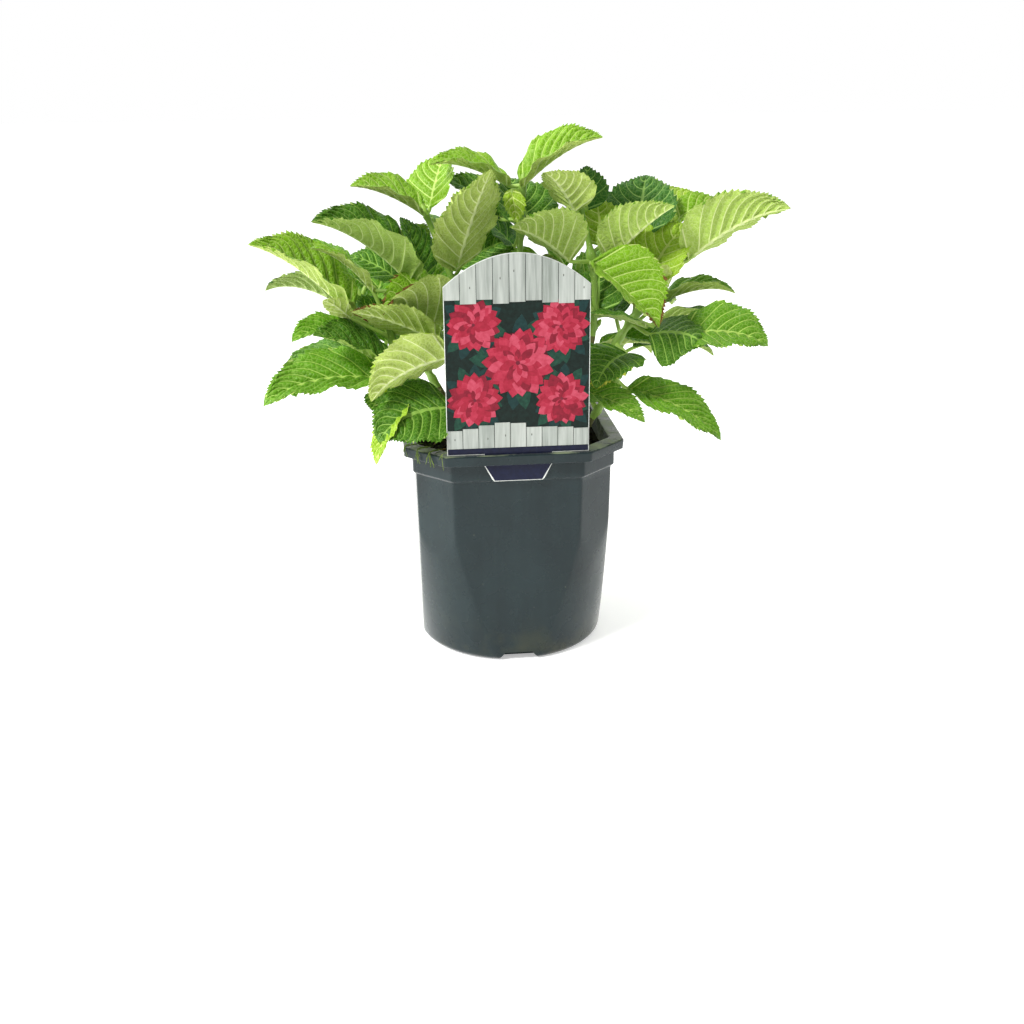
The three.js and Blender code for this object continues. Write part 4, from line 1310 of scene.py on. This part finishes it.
def dress_soil():
    peat = earth_look("peat", "#0d0b08", "#2a231a")
    moss = earth_look("soil_moss", "#2c3a16", "#556b2a")
    straw = earth_look("dead_bits", "#6a5636", "#a08a5c", 0.8)
    grass = earth_look("rim_grass", "#4d6628", "#8a9a50", 0.8)
    lay_bed(peat)
    draw = random_from(SOIL_SEED)
    scatter_crumbs(peat, moss, draw)
    litter = Pile()
    scatter_litter(litter, straw, draw)
    hang_strands(litter, grass, draw)
    put("dead_bits", litter.mesh("dead_bits", SOIL_SHARP_DEG), "potting_mix")


# Card.

HEADER_HEIGHT = 25
FOOTER_HEIGHT = 12
STRIP_HEIGHT = 3.8
PLANKS = 9
PLANK_GAP = 0.16
PLANK_LAYER = 11.5
PRINT = 0.05
LAYER_STEP = 0.025
CUT_EDGE = 0.35
PLANK_STEP = 5
KNOTTY_FROM = 0.3
KNOT_SIZE = (0.35, 0.7, 10)
KNOT_PROUD = 0.3
FIELD_LAYER, LEAF_LAYER, TONGUE_LAYER, STRIP_LAYER = 1, 1.2, 1.6, 2
CARD_SHARP_DEG = 30
CARD_SEED = 29
# Shares of a flower's radius: its dark ground, its eye, and how far and wide its leaves are.
BLOOM_GROUND = 0.85
BLOOM_EYE = 0.06
BLOOM_LEAVES = 13
LEAF_REACH = 1.35
LEAF_WIDE = 0.45
PETAL_WIDE = 0.42
RING_TURN = 0.37
# A span, as for drawn().
PETAL_REACH = (0.93, 0.12)
# Each ring of petals: its share of the flower's radius, and how many there are.
BLOOM_RINGS = ((1.0, 17), (0.85, 15), (0.7, 13), (0.54, 11), (0.38, 8), (0.23, 6))
EVEN_GRAIN = (1, 1, 1)
BOARD_GRAIN = (1, 1, 0.06)
CARD_COLOURS = {
    "white": ("#d3d7d0", "#e6e9e4"),
    "field": ("#08150f", "#10241f"),
    "navy": ("#10142a", "#181d38"),
    "knot": ("#62665f", "#7b8079"),
    "board_a": ("#8d938c", "#b6bbb4"),
    "board_b": ("#828981", "#adb3ac"),
    "board_c": ("#979d95", "#bdc2bb"),
    "wine": ("#400914", "#54101d"),
    "crimson": ("#701224", "#8a1a2f"),
    "red": ("#8c182d", "#a2243a"),
    "rose": ("#9c2238", "#b03248"),
    "pink": ("#ab3549", "#bd4c60"),
    "eye": ("#5c1826", "#702232"),
    "leaf_a": ("#123428", "#1e4837"),
    "leaf_b": ("#0d2828", "#173835"),
}
CARD_BOTTOM = RIM_HEIGHT + GAP
# Each flower head of the card: x, height and radius.
BLOOMS = [
    (-23.5, 201, 14.8),
    (23.2, 199, 15.2),
    (-23.4, 160, 15.0),
    (23.8, 159.5, 14.6),
    (0, 180, 19.5),
]


def card_top(x):
    return CARD_BOTTOM + CARD_SIDE_HEIGHT + CARD_ARCH * (1 - (x / (CARD_WIDTH / 2)) ** 2)


def card_outline():
    half = CARD_WIDTH / 2
    lip = RIM_HEIGHT - LIP_HEIGHT
    foot = TONGUE_FOOT_WIDTH / 2
    left = [(-TONGUE_WIDTH / 2, CARD_BOTTOM), (-TONGUE_WIDTH / 2, lip), (-foot - 1, TONGUE_BOTTOM + 1)]
    left.append((-foot, TONGUE_BOTTOM))
    points = left + [(-x, z) for x, z in reversed(left)]
    arch = np.linspace(half, -half, 41)
    points += [(half, CARD_BOTTOM)] + [(x, card_top(x)) for x in arch] + [(-half, CARD_BOTTOM)]
    return points


def on_card(pile, outline_points, material, layer):
    """A flat printed shape on the card's front, layer times a print's thickness proud of it. No two
    shapes that overlap have one layer."""
    front = -CARD_FROM_AXIS - CARD_THICK / 2
    points = [(x, front + 0.02, z) for x, z in outline_points]
    prism(points, (0, -PRINT * layer - 0.02, 0), material, pile)


def disc(x, z, wide, high, count=12):
    angles = math.tau * np.arange(count) / count
    return [(x + wide * math.cos(a), z + high * math.sin(a)) for a in angles]


def rosette(pile, x, z, radius, tints, draw, layer):
    """A round flower of six rings of petals over a dark ground, with a small eye. Returns the next
    free layer."""
    on_card(pile, disc(x, z, radius * BLOOM_GROUND, radius * BLOOM_GROUND, 24), tints[0], layer)
    for number, (reach, count) in enumerate(BLOOM_RINGS):
        for i in range(count):
            layer += LAYER_STEP
            way = number * RING_TURN + math.tau * (i + 0.4 * draw()) / count
            tint = tints[1 + int(draw() * (len(tints) - 2))]
            length = radius * reach * drawn(PETAL_REACH, draw())
            petal(pile, x, z, way, length, length * PETAL_WIDE, tint, layer)
    layer += LAYER_STEP
    on_card(pile, disc(x, z, radius * BLOOM_EYE, radius * BLOOM_EYE), tints[-1], layer)
    return layer + LAYER_STEP


def petal(pile, x, z, way, length, width, material, layer):
    """A petal, rounded at its end."""
    share = np.linspace(0, 1, 8)
    half = width / 2 * np.sin(np.pi * share**1.3) ** 0.75
    c, s = math.cos(way), math.sin(way)
    right = [(length * a, -h) for a, h in zip(share, half)]
    left = [(length * a, h) for a, h in list(zip(share, half))[-2:0:-1]]
    points = [(x + a * c - b * s, z + a * s + b * c) for a, b in right + left]
    on_card(pile, points, material, layer)


def planks(pile, low, high, looks, knot, draw, ragged_end):
    """Upright whitewashed boards between two heights, whose ends step up and down."""
    width = CARD_WIDTH / PLANKS
    for i in range(PLANKS):
        left = -CARD_WIDTH / 2 + i * width + PLANK_GAP + (i == 0) * CUT_EDGE
        right = -CARD_WIDTH / 2 + (i + 1) * width - PLANK_GAP - (i == PLANKS - 1) * CUT_EDGE
        across = np.linspace(left, right, 6)
        step = (draw() - 0.5) * PLANK_STEP
        if ragged_end == "low":
            points = [(x, low + step) for x in across] + [(x, high(x) - CUT_EDGE) for x in across[::-1]]
        else:
            points = [(x, low) for x in across] + [(x, high(x) + step) for x in across[::-1]]
        on_card(pile, points, looks[int(draw() * len(looks))], PLANK_LAYER)
        middle, share = (left + right) / 2 + (draw() - 0.5) * 4, draw()
        height = lerp(low + 4, high(middle) - 4, share)
        if share > KNOTTY_FROM:
            on_card(pile, disc(middle, height, *KNOT_SIZE), knot, PLANK_LAYER + KNOT_PROUD)


def print_blooms(pile, half, looks, draw):
    """The flower heads, over the leaves of all of them."""
    tints = [looks[name] for name in ("wine", "crimson", "red", "rose", "pink", "eye")]
    greens = [looks["leaf_a"], looks["leaf_b"]]
    layer = LEAF_LAYER
    for x, z, radius in BLOOMS:
        for i in range(BLOOM_LEAVES):
            layer += LAYER_STEP
            way = math.tau * (i + draw() * 0.6) / BLOOM_LEAVES
            reach = min(radius * LEAF_REACH, (half - abs(x)) / max(0.05, abs(math.cos(way))) - 0.3)
            petal(pile, x, z, way, reach, radius * LEAF_WIDE, greens[i % 2], layer)
    for x, z, radius in BLOOMS:
        layer = rosette(pile, x, z, radius, tints, draw, layer + LAYER_STEP)


def make_card_looks():
    looks = {}
    for name, (low, high) in CARD_COLOURS.items():
        grain = BOARD_GRAIN if name.startswith("board") else EVEN_GRAIN
        looks[name] = card_look(f"card_{name}", low, high, grain)
    return looks


def dress_card():
    looks = make_card_looks()
    knot, navy = looks["knot"], looks["navy"]
    boards = [looks["board_a"], looks["board_b"], looks["board_c"]]
    board = Pile()
    front = -CARD_FROM_AXIS - CARD_THICK / 2
    points = [(x, front, z) for x, z in card_outline()]
    prism(points, (0, CARD_THICK, 0), looks["white"], board)
    half = CARD_WIDTH / 2 - CUT_EDGE
    draw = random_from(CARD_SEED)
    strip_top = CARD_BOTTOM + STRIP_HEIGHT
    low, high = strip_top + FOOTER_HEIGHT, card_top(0) - HEADER_HEIGHT
    arch = [(x, card_top(x) - CUT_EDGE) for x in np.linspace(half, -half, 31)]
    on_card(board, [(-half, strip_top), (half, strip_top), *arch], looks["field"], FIELD_LAYER)
    print_blooms(board, half, looks, draw)
    planks(board, high, card_top, boards, knot, draw, "low")
    planks(board, strip_top, lambda x: low, boards, knot, draw, "high")
    bottom = CARD_BOTTOM + CUT_EDGE
    strip = [(-half, bottom), (half, bottom), (half, strip_top), (-half, strip_top)]
    on_card(board, strip, navy, STRIP_LAYER)
    lip, foot = RIM_HEIGHT - LIP_HEIGHT, TONGUE_FOOT_WIDTH / 2 - CUT_EDGE
    edge = TONGUE_WIDTH / 2 - CUT_EDGE
    tongue = [(-foot, TONGUE_BOTTOM + CUT_EDGE), (foot, TONGUE_BOTTOM + CUT_EDGE), (edge, lip)]
    tongue += [(edge, strip_top), (-edge, strip_top), (-edge, lip)]
    on_card(board, tongue, navy, TONGUE_LAYER)
    put("plant_label", board.mesh("plant_label", CARD_SHARP_DEG), "card", "plant_card")


# Studio.

CAMERA_AT = (-0.0684, -0.7098, 0.338)
CAMERA_TURN = -0.099
CAMERA_PITCH = 0.356
CAMERA_ROLL = -0.009
CAMERA_LENS = 43.945
SENSOR_WIDTH = 36
CLIP_START = 0.01
# The surround's light in front of the plant and behind it, and where it changes.
SURROUND = (0.48, 1.05)
SURROUND_RANGE = (-0.35, 0.4)
FLOOR_GLOW = 0.4
FLOOR_REACH = 6.0
LAMPS_AIM = (0, 0, 0.17)
# Each lamp: its place, its size and its watts.
LAMPS = {
    "key": ((-1.0, -0.8, 1.35), 0.45, 27),
    "left": ((-1.15, 0.35, 0.45), 0.5, 10),
    "right": ((1.2, 0.45, 0.5), 0.5, 2.5),
    "back": ((0.2, 1.4, 1.3), 1.2, 3),
}


def aim_camera():
    data = bpy.data.cameras.new("camera")
    data.lens, data.sensor_width, data.clip_start = CAMERA_LENS, SENSOR_WIDTH, CLIP_START
    camera = add_object("camera", data)
    a, p, r = CAMERA_TURN, CAMERA_PITCH, CAMERA_ROLL
    forward = Vector((-math.sin(a) * math.cos(p), math.cos(a) * math.cos(p), -math.sin(p)))
    level = Vector((math.cos(a), math.sin(a), 0))
    above = level.cross(forward)
    right = level * math.cos(r) + above * math.sin(r)
    up = above * math.cos(r) - level * math.sin(r)
    turn = Matrix((right, up, -forward)).transposed()
    camera.matrix_world = Matrix.Translation(CAMERA_AT) @ turn.to_4x4()
    bpy.context.scene.camera = camera


def light_surround():
    """A surround that looks white, and lights the plant from behind more than from the front."""
    world = bpy.data.worlds.new("studio")
    world.use_nodes = True
    tree = world.node_tree
    shader = tree.nodes["Background"]
    shader.inputs["Color"].default_value = (1, 1, 1, 1)
    way = tree.nodes.new("ShaderNodeSeparateXYZ")
    tree.links.new(tree.nodes.new("ShaderNodeTexCoord").outputs["Generated"], way.inputs[0])
    strength = tree.nodes.new("ShaderNodeMapRange")
    for socket, value in zip((1, 2, 3, 4), (*SURROUND_RANGE, *SURROUND)):
        strength.inputs[socket].default_value = value
    tree.links.new(way.outputs["Y"], strength.inputs[0])
    seen = tree.nodes.new("ShaderNodeLightPath").outputs["Is Camera Ray"]
    choice = tree.nodes.new("ShaderNodeMix")
    choice.inputs["B"].default_value = 1.0
    tree.links.new(seen, choice.inputs["Factor"])
    tree.links.new(strength.outputs[0], choice.inputs["A"])
    tree.links.new(choice.outputs["Result"], shader.inputs["Strength"])
    bpy.context.scene.world = world
    bpy.context.scene.view_settings.view_transform = "Standard"


def hang_lamps():
    """Four soft lamps, all turned towards the plant."""
    for name, (at, size, watts) in LAMPS.items():
        data = bpy.data.lights.new(name, "AREA")
        data.shape, data.size, data.energy = "DISK", size, watts
        lamp = add_object(name, data)
        lamp.location = at
        lamp.rotation_mode = "QUATERNION"
        lamp.rotation_quaternion = (Vector(LAMPS_AIM) - Vector(at)).to_track_quat("-Z", "Y")


def lay_floor():
    floor = bpy.data.meshes.new("floor")
    corners = [(x * FLOOR_REACH, y * FLOOR_REACH, 0) for x, y in ((-1, -1), (1, -1), (1, 1), (-1, 1))]
    floor.from_pydata(corners, [], [(0, 1, 2, 3)])
    ground = add_object("floor", floor)
    look = Look("floor", 0.8, 0.1, Emission_Color=(1, 1, 1, 1), Emission_Strength=FLOOR_GLOW)
    look.colour(look.blend(look.noise(3, 2), "#f4f4f3", "#fafafa"))
    floor.materials.append(look.material)


aim_camera()
light_surround()
hang_lamps()
lay_floor()
dress_pot()
dress_soil()
dress_card()
dress_growth()
